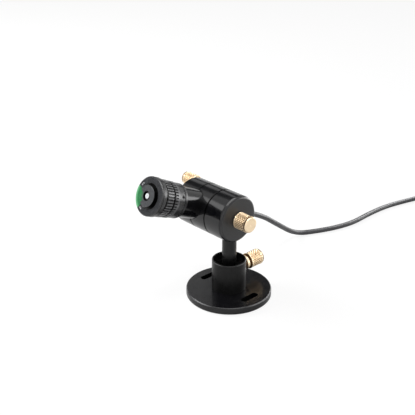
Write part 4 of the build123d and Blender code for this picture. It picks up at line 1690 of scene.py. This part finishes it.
@dataclass
class AdjustingHead:
    """The sleeve, the two notched rings and the bezel at the laser's front."""

    sleeve_radius: float = 11.9
    sleeve_bore: float = 10.53
    sleeve: Corner = (31.0, 38.2)
    groove: Corner = (33.0, 33.8)
    groove_depth: float = 0.45
    set_screws: int = 3
    set_screw_angle: float = 25.5
    set_screw_place: float = 35.4
    set_screw_radius: float = 1.25
    set_screw_recess: float = 0.4
    set_screw_hex: float = 0.72
    ring_bore: float = 10.05
    ring_chamfer: float = 0.3
    teeth: int = 40
    tooth_columns: int = 8
    tooth_depth: float = 0.55
    tooth_floor: float = 0.19
    lock_radius: float = 12.3
    lock: Corner = (38.25, 42.55)
    lock_teeth: float = 2.4
    focus_radius: float = 12.5
    focus: Corner = (43.85, 49.45)
    bezel_radius: float = 13.1
    bezel: Corner = (50.65, 55.05)
    bezel_chamfer: float = 0.5
    bezel_groove: float = 0.4
    bezel_lip: float = 0.9
    bezel_spigot: float = 4.0
    spigot_radius: float = 7.47
    boss_base: float = 8.6
    boss_radius: float = 7.0
    boss_front: float = 57.05
    aperture: float = 2.5
    aperture_flare: float = 0.65
    aperture_lip: float = 0.8
    window_radius: float = 3.3
    window_thickness: float = 1.0
    window_dome: float = 0.35
    window_clear: float = 1.72
    seat: float = 0.03

    def band(self) -> Piece:
        """Turns the sleeve and bores it for the set screws.

        Returns:
            The sleeve.
        """
        low, high = self.sleeve
        outer = self.sleeve_radius
        floor = outer - self.groove_depth
        band = lathe(
            "sleeve_band",
            [
                (self.sleeve_bore, low), (outer - self.ring_chamfer, low),
                (outer, low + self.ring_chamfer), (outer, self.groove[0]), (floor, self.groove[0]),
                (floor, self.groove[1]), (outer, self.groove[1]), (outer, high),
                (self.sleeve_bore, high),
            ],
            steps=192,
        )
        ease(band, 0.1, 2)
        for index in range(self.set_screws):
            cutter = bar("set_screw_cutter", 48, self.set_screw_radius + self.seat, self.sleeve_bore - 1.0, outer + 1.0)
            cut(band, shift(cutter, self.screw_way(index)))
        return band

    def screw_way(self, index: int) -> Matrix:
        """Gives the place of a set screw that points outwards from the beam's axis.

        Args:
            index: which of the set screws.

        Returns:
            Its place in the laser's millimetres.
        """
        turn = radians(self.set_screw_angle + 360.0 / self.set_screws * index)
        outward = Vector((cos(turn), sin(turn), 0.0))
        side = Vector((0.0, 0.0, 1.0))
        turned = Matrix((side, outward.cross(side), outward)).transposed().to_4x4()
        return Matrix.Translation((0.0, 0.0, self.set_screw_place)) @ turned

    def set_screw(self) -> Piece:
        """Turns one set screw and sinks its hexagon.

        Returns:
            The screw.
        """
        top = self.sleeve_radius - self.set_screw_recess
        screw = lathe(
            "head_set_screw_1",
            [
                (0.0, self.sleeve_bore), (self.set_screw_radius, self.sleeve_bore),
                (self.set_screw_radius, top - 0.15), (self.set_screw_radius - 0.15, top),
                (0.0, top),
            ],
            steps=48,
        )
        cut(screw, bar("hexagon_cutter", 6, self.set_screw_hex, top - 0.6, top + 1.0))
        return screw

    def ring(self, name: str, outer: float, ends: Corner, notch_start: float) -> Piece:
        """Turns a grip ring and presses its notches.

        Args:
            name: the piece's name.
            outer: its outer radius.
            ends: its ends along the beam.
            notch_start: where the notches start, up to the front end.

        Returns:
            The ring.
        """
        low, high = ends
        edge = self.ring_chamfer
        profile = [
            (self.ring_bore, low), (outer - edge, low), (outer, low + edge), (outer, high - edge),
            (outer - edge, high), (self.ring_bore, high),
        ]
        if notch_start > low:
            profile.insert(3, (outer, notch_start))
            profile.insert(3, (outer, notch_start - 0.06))
        ring = lathe(name, profile, steps=self.teeth * self.tooth_columns)
        notch(ring, self.teeth, outer, self.tooth_depth, notch_start, high, self.tooth_floor)
        return ring

    def front(self) -> Piece:
        """Turns the bezel with its boss and aperture.

        Returns:
            The bezel.
        """
        low, high = self.bezel
        edge = self.bezel_chamfer
        window = self.window_radius + self.seat
        front = lathe(
            "bezel_ring",
            [
                (window, low - self.bezel_spigot), (self.spigot_radius, low - self.bezel_spigot),
                (self.spigot_radius, low), (self.bezel_radius - edge, low),
                (self.bezel_radius, low + edge),
                (self.bezel_radius, high - self.bezel_groove - self.bezel_lip),
                (self.bezel_radius - self.bezel_groove, high - self.bezel_groove - self.bezel_lip),
                (self.bezel_radius - self.bezel_groove, high - self.bezel_lip),
                (self.bezel_radius, high - self.bezel_lip), (self.bezel_radius, high - edge),
                (self.bezel_radius - edge, high), (self.boss_base, high),
                (self.boss_radius, self.boss_front),
                (self.aperture + self.aperture_flare, self.boss_front),
                (self.aperture, self.boss_front - self.aperture_flare),
                (self.aperture, self.boss_front - self.aperture_lip),
                (window, self.boss_front - self.aperture_lip),
            ],
            steps=192,
        )
        ease(front, 0.1, 2)
        return front

    def window(self) -> Piece:
        """Turns the window with a slightly domed front.

        Returns:
            The window.
        """
        top = self.boss_front - self.aperture_lip
        back = top - self.window_thickness
        reach = self.aperture - 0.1
        dome = [(reach * cos(part * pi / 16), top + self.window_dome * sin(part * pi / 16)) for part in range(8)]
        return lathe(
            "aperture_lens",
            [(0.0, back), (self.window_radius, back), (self.window_radius, top), *dome, (0.0, top + self.window_dome)],
            steps=64,
        )

    def build(self) -> None:
        """Makes the pieces and ties them to the frame."""
        dark = HEAD_BLACK.on(BEAM_PLACE)
        settle(self.band(), BEAM_PLACE, dark, Body.LASER, ["head_sleeve"])
        for index, screw in enumerate(row_of(self.set_screw(), self.set_screws)):
            place = BEAM_PLACE @ self.screw_way(index)
            settle(screw, place, DARK_STEEL.on(BEAM_PLACE), Body.LASER, ["head_set_screws"])
        rings = (
            ("lock", Body.LOCK_RING, self.lock_radius, self.lock, self.lock[1] - self.lock_teeth),
            ("focus", Body.FOCUS_RING, self.focus_radius, self.focus, self.focus[0]),
        )
        for name, body, outer, ends, notch_start in rings:
            ring = self.ring(f"{name}_grip", outer, ends, notch_start)
            # Each ring's finish paints highlights on its lands and shade in its notches.
            painted_light = LandFinish(outer, self.tooth_depth).on(f"{name}_black")
            settle(ring, BEAM_PLACE, painted_light, body, [f"{name}_ring"], FINE_ANGLE)
        settle(self.front(), BEAM_PLACE, BezelFinish().build(), Body.LASER, ["front_bezel"])
        window_paint = window_finish(self.window_clear)
        settle(self.window(), BEAM_PLACE, window_paint, Body.LASER, ["aperture_window"])


# Cable


@dataclass
class Cable:
    """The cable on one smooth line: out of the gland, down to the table, along it and into a coil."""

    diameter: float = 0.004
    exit_along: float = -0.0374
    straight: float = 0.022
    rest: float = 0.002
    coil_floor: float = 0.0027
    coil_middle: float = 0.0223
    coil_lead: float = 0.01489
    tail_lead: float = 0.01741
    turns: float = 5.5
    points_per_turn: int = 16
    sides: int = 20
    crisp_angle: float = 40.0
    spline_steps: int = 8
    tilt_bend: Corner = (0.036, 0.100)
    tilt_bend_height: Corner = (0.0439, 0.0050)
    pan_bend: Corner = (0.1025, 0.210)
    lift_bend: Corner = (0.212, 0.244)
    layers: tuple[tuple[float, int, int], ...] = (
        (0.0, 1, 0), (0.75, 1, 0), (1.0, 0, 0), (1.75, 0, 0), (2.0, -1, 0), (2.5, -1, 0),
        (2.75, -1, 1), (3.25, -1, 1), (3.5, 0, 1), (4.25, 0, 1), (4.5, 1, 1), (5.5, 1, 1),
    )
    route_end: tuple[float, float] = (0.0, 0.260)

    def exit(self) -> Vector:
        """Gives the point where the cable leaves the gland."""
        return BEAM_CENTRE + BEAM * self.exit_along

    def coil_centre(self) -> Vector:
        """Gives the middle of the coil at the height of its lower turns."""
        x, y = self.route_end
        return Vector((x + self.coil_middle + self.diameter, y + self.coil_lead, self.coil_floor))

    def coil(self) -> list[Vector]:
        """Works out the coil's turns: inwards in the lower layer, then outwards on top of it.

        Returns:
            Points of the cable's own spline, from the coil's left side to its right side.
        """
        centre = self.coil_centre()
        stations = [station[0] for station in self.layers]
        count = round(self.turns * self.points_per_turn)
        half_step = pi / self.points_per_turn
        swell = 1.0 / (0.75 + 0.25 * cos(2 * half_step))
        points = []
        for index in range(count + 1):
            turn = self.turns * index / count
            ring = float(np.interp(turn, stations, [station[1] for station in self.layers]))
            layer = float(np.interp(turn, stations, [station[2] for station in self.layers]))
            radius = (self.coil_middle + ring * self.diameter) * swell
            angle = pi - tau * turn
            offset = Vector((radius * cos(angle), radius * sin(angle), layer * self.diameter))
            points.append(centre + offset)
        return points

    def route(self) -> list[Vector]:
        """Gives the points of the cable's spline from the gland to the plug.

        Returns:
            The points in metres.
        """
        start = self.exit()
        laid = [
            (-0.0228, 0.0732, 0.0223),
            (-0.0280, 0.1025, self.rest),
            (-0.0187, 0.1205, self.rest),
            (-0.0126, 0.1372, self.rest),
            (-0.0090, 0.1559, self.rest),
            (-0.0107, 0.1791, self.rest),
            (-0.0102, 0.2039, self.rest),
            (-0.0061, 0.2245, self.rest),
            (0.0, 0.2430, self.coil_floor), (*self.route_end, self.coil_floor),
        ]
        coil = self.coil()
        leaving = Vector((0.0, -self.tail_lead, 0.0))
        return [start, start - BEAM * self.straight, *map(Vector, laid), *coil, coil[-1] + leaving]

    def line(self) -> list[Vector]:
        """Reads the points along the cable's smooth line.

        Returns:
            Points in metres from the gland to the plug.
        """
        data = bpy.data.curves.new("cable_line", "CURVE")
        data.dimensions = "3D"
        data.resolution_u = self.spline_steps
        spline = data.splines.new("NURBS")
        points = self.route()
        spline.points.add(len(points) - 1)
        for knot, point in zip(spline.points, points):
            knot.co = (*point, 1.0)
        spline.order_u = 3
        spline.use_endpoint_u = True
        spline.resolution_u = self.spline_steps
        guide = bpy.data.objects.new("cable_line", data)
        bpy.context.scene.collection.objects.link(guide)
        bpy.context.view_layer.update()
        flat = bpy.data.meshes.new_from_object(guide.evaluated_get(bpy.context.evaluated_depsgraph_get()))
        line = [vertex.co.copy() for vertex in flat.vertices]
        bpy.data.meshes.remove(flat)
        bpy.data.objects.remove(guide)
        bpy.data.curves.remove(data)
        return line

    def tube(self, name: str, line: Sequence[Vector]) -> Piece:
        """Makes a closed tube along part of the line.

        Args:
            name: the piece's name.
            line: the points that it follows.

        Returns:
            The tube, with a map of its length in centimetres and its girth in millimetres.
        """
        ways = [(after - before).normalized() for before, after in zip(line, line[1:])]
        ways = [ways[0], *[(a + b).normalized() for a, b in zip(ways, ways[1:])], ways[-1]]
        side = ways[0].cross(UP).normalized()
        vertices, lengths, length = [], [], 0.0
        for index, (point, way) in enumerate(zip(line, ways)):
            side = (side - way * side.dot(way)).normalized()
            lift = way.cross(side)
            length += (point - line[index - 1]).length if index else 0.0
            lengths.append(length)
            for number in range(self.sides):
                turn = tau * number / self.sides
                vertices.append(point + (side * cos(turn) + lift * sin(turn)) * self.diameter / 2)
        faces = []
        for index in range(len(line) - 1):
            for number in range(self.sides):
                nearby = (number + 1) % self.sides
                low, high = index * self.sides, (index + 1) * self.sides
                faces.append((low + number, low + nearby, high + nearby, high + number))
        faces.append(tuple(reversed(range(self.sides))))
        last = (len(line) - 1) * self.sides
        faces.append(tuple(range(last, last + self.sides)))
        mesh = bpy.data.meshes.new(name)
        mesh.from_pydata(vertices, [], faces)
        along = mesh.uv_layers.new(name="along")
        girth = pi * self.diameter / MM
        for polygon in mesh.polygons:
            for loop in polygon.loop_indices:
                ring, number = divmod(mesh.loops[loop].vertex_index, self.sides)
                along.data[loop].uv = (lengths[ring] / MM / 10.0, girth * number / self.sides)
        piece = bpy.data.objects.new(name, mesh)
        bpy.context.scene.collection.objects.link(piece)
        return piece

    def stretch(self, name: str, line: Sequence[Vector], nodes: Sequence[str]) -> Piece:
        """Makes and dresses one stretch of the cable.

        Args:
            name: the piece's name.
            line: the points that it follows.
            nodes: the nodes that it stands for.

        Returns:
            The stretch.
        """
        piece = self.tube(name, line)
        known = bpy.data.materials.get("cable_jacket")
        dress(piece, known or jacket_finish())
        smooth(piece, self.crisp_angle)
        if nodes:
            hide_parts(*nodes)
        return piece

    def bend(self, piece: Piece) -> None:
        """Bakes a stretch's place into its mesh.

        Args:
            piece: the stretch.
        """
        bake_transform(piece)

    def build(self, on_end: Sequence[Any]) -> None:
        """Makes the cable in three stretches, split at two places along its line.

        Args:
            on_end: the pieces at the cable's far end; not used.
        """
        line = self.line()
        first = next(index for index, point in enumerate(line) if point.y > self.tilt_bend[1] + self.diameter / 2)
        second = next(index for index, point in enumerate(line) if point.y > self.pan_bend[1])
        tail = self.stretch("cable_tail", line[: first + 1], ["cable_lead"])
        middle = self.stretch("cable_middle", line[first : second + 1], [])
        rest = self.stretch("cable_rest", line[second:], ["cable_run", "cable_coil"])
        self.bend(tail)
        self.bend(middle)
        self.bend(rest)


@dataclass
class CableEnd:
    """The tie round the coil and the round plug at the cable's end."""

    tie_thickness: float = 0.5
    tie_corner: float = 1.6
    body_radius: float = 5.0
    neck_radius: float = 3.0
    neck_length: float = 9.0
    body_length: float = 20.0
    grip_rings: int = 4
    grip_depth: float = 0.35
    grip: Corner = (-18.0, -9.0)
    nut_length: float = 12.0
    nut_bore: float = 5.05
    nut_radius: float = 6.7
    nut_chamfer: float = 0.3
    flutes: int = 18
    flute_columns: int = 8
    flute_depth: float = 0.6
    flute_floor: float = 0.2
    flute_plain: float = 1.5
    flute_start: float = 1.56
    insert_step: float = 2.0

    def tie(self) -> Piece:
        """Folds a strap round the coil's turns, from the node's box.

        Returns:
            The strap.
        """
        low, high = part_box("coil_tie")
        size = (high - low) / MM
        pick_nothing()
        bpy.ops.mesh.primitive_cube_add(size=1.0)
        tie = new_piece("coil_strap")
        bpy.ops.transform.resize(value=size)
        bpy.ops.object.transform_apply(location=True, rotation=True, scale=True)
        bevel_where(tie, lambda one, two: abs(one.x - two.x) > 0.9 * size.x, self.tie_corner, 6)
        edited = open_mesh(tie, "FACE")
        for face in edited.faces:
            face.select_set(abs(face.normal.x) > 0.9)
        bmesh.update_edit_mesh(tie.data)
        bpy.ops.mesh.delete(type="FACE")
        bpy.ops.mesh.select_all(action="SELECT")
        bpy.ops.mesh.remove_doubles(threshold=0.01)
        bpy.ops.mesh.normals_make_consistent(inside=False)
        bpy.ops.object.mode_set(mode="OBJECT")
        apply_modifier(tie, "SOLIDIFY", thickness=self.tie_thickness, offset=-1.0)
        ease(tie, 0.12)
        middle = (low + high) / 2
        settle(tie, placed_on(middle, UP, SWIVEL_WAY), TIE_POLYMER.on(STAND_PLACE), Body.BASE, ["coil_tie"])
        return tie

    def moulding(self) -> Piece:
        """Turns the plug's moulded body with its tapering neck and grip rings.

        Returns:
            The body.
        """
        start = -self.neck_length - self.body_length
        rings = ribbed((self.body_radius, self.body_radius), self.grip, self.grip_rings, self.grip_depth)
        body = lathe(
            "plug_moulding",
            [
                (0.0, start), (self.neck_radius, start),
                (self.body_radius, start + self.neck_length), *rings, (self.body_radius, 0.0),
                (0.0, 0.0),
            ],
            steps=96,
        )
        ease(body, 0.1)
        return settle(body, PLUG_PLACE, DARK_POLYMER.on(BEAM_PLACE), Body.BASE, ["plug_body"])

    def nut(self) -> Piece:
        """Turns the plug's fluted nut.

        Returns:
            The nut.
        """
        half = self.nut_length / 2
        edge = self.nut_chamfer
        outer = self.nut_radius
        plain, start = self.flute_plain - half, self.flute_start - half
        nut = lathe(
            "plug_grip_nut",
            [
                (self.nut_bore, -half), (outer - edge, -half), (outer, edge - half), (outer, plain),
                (outer, start), (outer, -start), (outer, -plain), (outer, half - edge),
                (outer - edge, half), (self.nut_bore, half),
            ],
            steps=self.flutes * self.flute_columns,
        )
        notch(nut, self.flutes, outer, self.flute_depth, start, -start, self.flute_floor)
        plated = NICKEL_PLATE.on(PLUG_PLACE)
        return settle(nut, PLUG_PLACE, plated, Body.PLUG_NUT, ["plug_nut"], FINE_ANGLE)

    def build(self) -> list[Any]:
        """Makes the pieces.

        Returns:
            The pieces that lie on the cable.
        """
        dress(frame["nodes"]["plug_insert"], pin_finish(self.insert_step))
        return [self.tie(), self.moulding(), self.nut(), frame["nodes"]["plug_insert"]]


# Pieces inside


def dress_inside() -> None:
    """Dresses the pieces inside the laser and the clamp, whose shapes stay as they are."""
    brass = BARE_BRASS.on(BEAM_PLACE)
    lens = glass_finish("lens_glass", BEAM_PLACE)
    finishes = {
        "tilt_washer": DARK_POLYMER.on(BEAM_PLACE),
        "jaw_screw": DARK_STEEL.on(CLAMP_SCREW_PLACE),
        "cable_inner": DARK_POLYMER.on(BEAM_PLACE),
        "diode_mount": brass,
        "collimator_cell": brass,
        "laser_diode": BRIGHT_STEEL.on(BEAM_PLACE),
        "collimating_lens": lens,
        "line_lens": lens,
        "lens_retainer": DARK_STEEL.on(BEAM_PLACE),
        "optics_tube": SATIN_BLACK.on(BEAM_PLACE),
        "driver_board": board_finish(),
        "driver_chip": CHIP_EPOXY.on(BEAM_PLACE),
        "driver_capacitor": CAN_SKIN.on(BEAM_PLACE),
    }
    for node, material in finishes.items():
        dress(frame["nodes"][node], material)
        log.info("%s keeps its shape", node)


# Stage


def white_light(tree: bpy.types.NodeTree, kind: str, level: float) -> bpy.types.Node:
    """Adds a white glow to a tree.

    Args:
        tree: the node tree.
        kind: the node's type.
        level: its strength.

    Returns:
        The node.
    """
    made = tree.nodes.new(kind)
    made.inputs["Color"].default_value = WHITE
    made.inputs["Strength"].default_value = level
    return made


@dataclass(frozen=True)
class Panel:
    """A large soft lamp or a dark card beside the object, seen only in reflections."""

    name: str
    azimuth: float
    elevation: float
    width: float
    height: float
    level: float
    distance: float = 1.4
    aim: Point = (0.0, 0.0, 0.0)

    def build(self) -> None:
        """Makes the panel, turned towards the object."""
        turn, rise = radians(self.azimuth), radians(self.elevation)
        way = Vector((cos(turn) * cos(rise), sin(turn) * cos(rise), sin(rise)))
        pick_nothing()
        bpy.ops.mesh.primitive_plane_add(size=1.0)
        panel = new_piece(self.name)
        shift(panel, Matrix.Diagonal((self.width, self.height, 1.0, 1.0)))
        spot = way * self.distance
        facing = (spot - Vector(self.aim)).to_track_quat("Z", "Y").to_matrix().to_4x4()
        shift(panel, Matrix.Translation(spot) @ facing)
        material = bare_material(self.name)
        tree = material.node_tree
        light = white_light(tree, "ShaderNodeEmission", self.level)
        output = tree.nodes.new("ShaderNodeOutputMaterial")
        tree.links.new(light.outputs["Emission"], output.inputs["Surface"])
        dress(panel, material)
        panel.visible_camera = panel.visible_diffuse = False
        panel.visible_transmission = panel.visible_shadow = False


@dataclass
class Studio:
    """White floor, soft light, the panels seen in reflections and the camera."""

    floor_size: float = 12.0
    floor_drop: float = 0.0002
    floor_colour: Colour = (0.86, 0.86, 0.86)
    floor_glow: float = 0.8
    floor_light: float = 1.06
    sky_level: float = 0.38
    overhead_power: float = 8.0
    overhead_size: float = 0.55
    overhead_place: Point = (0.1, -0.15, 1.5)
    key_power: float = 14.0
    key_size: float = 0.8
    key_place: Point = (-1.0, -0.5, 0.85)
    azimuth: float = 47.732
    elevation: float = 24.102
    distance: float = 0.48118
    aim_height: float = 0.050
    aim_right: float = -0.015006
    aim_up: float = 0.014377
    lens: float = 61.32
    sensor: float = 36.0
    panels: list[Panel] = field(
        default_factory=lambda: [
            Panel("low_card", 225.0, 11.0, 2.6, 0.62, 0.03),
            Panel("side_lamp", 211.0, 36.0, 0.6, 0.46, 3.0),
            Panel("cable_lamp", 92.3, 17.2, 0.046, 0.12, 9.0, 0.2336, (-0.009, 0.18, 0.002)),
            Panel("back_lamp", 143.5, 31.0, 0.26, 0.3, 0.8, 1.3),
            Panel("back_card", 145.0, 33.0, 2.0, 0.95, 0.11, 1.5),
            Panel("top_panel", 20.0, 84.0, 1.3, 1.3, 4.2),
            Panel("rim_light", 101.0, 0.0, 0.26, 0.2, 2.6, 0.5),
            Panel("backdrop", 64.0, 7.0, 1.0, 0.6, 5.6),
            Panel("far_backdrop", 104.0, 3.0, 0.8, 0.5, 1.3, 1.5),
        ]
    )

    def seen_directly(self, tree: bpy.types.NodeTree, glossy: bool) -> Socket:
        """Tells rays that see the background from rays that light the object.

        Args:
            tree: the node tree.
            glossy: whether reflections and clear pieces see it too.

        Returns:
            The socket that is 1 for such rays.
        """
        path = tree.nodes.new("ShaderNodeLightPath")
        seen = path.outputs["Is Camera Ray"]
        for kind in ("Is Glossy Ray", "Is Transmission Ray") if glossy else ():
            either = tree.nodes.new("ShaderNodeMath")
            either.operation = "MAXIMUM"
            tree.links.new(seen, either.inputs[0])
            tree.links.new(path.outputs[kind], either.inputs[1])
            seen = either.outputs["Value"]
        return seen

    def sky(self) -> None:
        """Lights the object evenly from a background that looks white."""
        world = bpy.data.worlds.new("studio")
        world.use_nodes = True
        bpy.context.scene.world = world
        tree = world.node_tree
        tree.nodes.clear()
        fill = white_light(tree, "ShaderNodeBackground", self.sky_level)
        white = white_light(tree, "ShaderNodeBackground", 1.0)
        choice = tree.nodes.new("ShaderNodeMixShader")
        output = tree.nodes.new("ShaderNodeOutputWorld")
        tree.links.new(self.seen_directly(tree, True), choice.inputs["Fac"])
        tree.links.new(fill.outputs["Background"], choice.inputs[1])
        tree.links.new(white.outputs["Background"], choice.inputs[2])
        tree.links.new(choice.outputs["Shader"], output.inputs["Surface"])

    def floor(self) -> None:
        """Lays the white floor, which keeps a faint shadow."""
        pick_nothing()
        bpy.ops.mesh.primitive_plane_add(size=self.floor_size)
        floor = new_piece("floor")
        shift(floor, Matrix.Translation((0.0, 0.0, -self.floor_drop)))
        material = bare_material("white_floor")
        tree = material.node_tree
        paper = tree.nodes.new("ShaderNodeBsdfDiffuse")
        paper.inputs["Color"].default_value = (*self.floor_colour, 1.0)
        glow = white_light(tree, "ShaderNodeEmission", self.floor_light)
        share = tree.nodes.new("ShaderNodeMath")
        share.operation = "MULTIPLY"
        share.inputs[1].default_value = self.floor_glow
        choice = tree.nodes.new("ShaderNodeMixShader")
        output = tree.nodes.new("ShaderNodeOutputMaterial")
        tree.links.new(self.seen_directly(tree, False), share.inputs[0])
        tree.links.new(share.outputs["Value"], choice.inputs["Fac"])
        tree.links.new(paper.outputs["BSDF"], choice.inputs[1])
        tree.links.new(glow.outputs["Emission"], choice.inputs[2])
        tree.links.new(choice.outputs["Shader"], output.inputs["Surface"])
        dress(floor, material)

    def lamps(self) -> None:
        """Hangs the two lamps and stands the panels."""
        self.lamp("overhead", self.overhead_power, self.overhead_size, self.overhead_place)
        self.lamp("key", self.key_power, self.key_size, self.key_place)
        for panel in self.panels:
            panel.build()

    def lamp(self, name: str, power: float, size: float, place: Sequence[float]) -> None:
        """Hangs one soft lamp, aimed at the object.

        Args:
            name: the lamp's name.
            power: its power in watts.
            size: its side in metres.
            place: where it hangs.
        """
        data = bpy.data.lights.new(name, "AREA")
        data.energy = power
        data.size = size
        lamp = bpy.data.objects.new(name, data)
        lamp.location = place
        aim = Vector((0.0, 0.0, self.aim_height)) - Vector(place)
        lamp.rotation_euler = aim.to_track_quat("-Z", "Y").to_euler()
        lamp.visible_glossy = False
        bpy.context.scene.collection.objects.link(lamp)

    def camera(self) -> None:
        """Stands the camera where the photograph was taken from."""
        turn, rise = radians(self.azimuth), radians(self.elevation)
        back = Vector((sin(turn) * cos(rise), -cos(turn) * cos(rise), sin(rise)))
        right = Vector((cos(turn), sin(turn), 0.0))
        up = back.cross(right)
        target = Vector((0.0, 0.0, self.aim_height)) + right * self.aim_right + up * self.aim_up
        data = bpy.data.cameras.new("camera")
        data.lens = self.lens
        data.sensor_width = self.sensor
        data.sensor_fit = "HORIZONTAL"
        camera = bpy.data.objects.new("camera", data)
        camera.location = target + back * self.distance
        camera.rotation_mode = "QUATERNION"
        camera.rotation_quaternion = (-back).to_track_quat("-Z", "Y")
        bpy.context.scene.collection.objects.link(camera)
        bpy.context.scene.camera = camera

    def build(self) -> None:
        """Makes the stage."""
        bpy.context.scene.view_settings.view_transform = "Standard"
        self.sky()
        self.floor()
        self.lamps()
        self.camera()
        log.info("stage is set")


def thumb_screws() -> list[ThumbScrew]:
    """Lists the three thumb screws.

    Returns:
        The screws of the post, the tilt and the clamp.
    """
    return [
        ThumbScrew(
            name="post_knob", node="post_lock_screw", body=Body.POST_SCREW, place=POST_SCREW_PLACE,
            shank_radius=2.0, shank_length=7.0, collar_radius=5.2, collar_length=5.7,
            collar_ring=(2.0, 3.9), neck_depth=1.3, head_radius=5.75, head_length=12.3, valley=(0.25, 0.145, 0.055),
        ),
        ThumbScrew(
            name="tilt_knob", node="tilt_lock_screw", body=Body.TILT_SCREW, place=TILT_SCREW_PLACE,
            shank_radius=2.5, shank_length=19.3, collar_radius=4.4, collar_length=0.4, head_radius=5.75,
            head_length=11.2,
        ),
        ThumbScrew(
            name="clamp_knob", node="clamp_lock_screw", body=Body.CLAMP_SCREW, place=CLAMP_SCREW_PLACE,
            shank_radius=1.5, shank_length=24.5, collar_radius=3.3, collar_length=0.4, head_radius=4.75,
            head_length=11.6, seat_gap=0.05, valley=(0.62, 0.43, 0.23),
        ),
    ]


def main() -> None:
    """Builds the object's pieces in order and sets the stage."""
    logging.basicConfig(level=logging.INFO, format="%(name)s: %(message)s")
    Studio().build()
    Cable().build(CableEnd().build())
    BaseStand().build()
    SwivelClamp().build()
    for screw in thumb_screws():
        screw.build()
    LaserBarrel().build()
    AdjustingHead().build()
    dress_inside()
    pick_nothing()


if __name__ == "__main__":
    main()
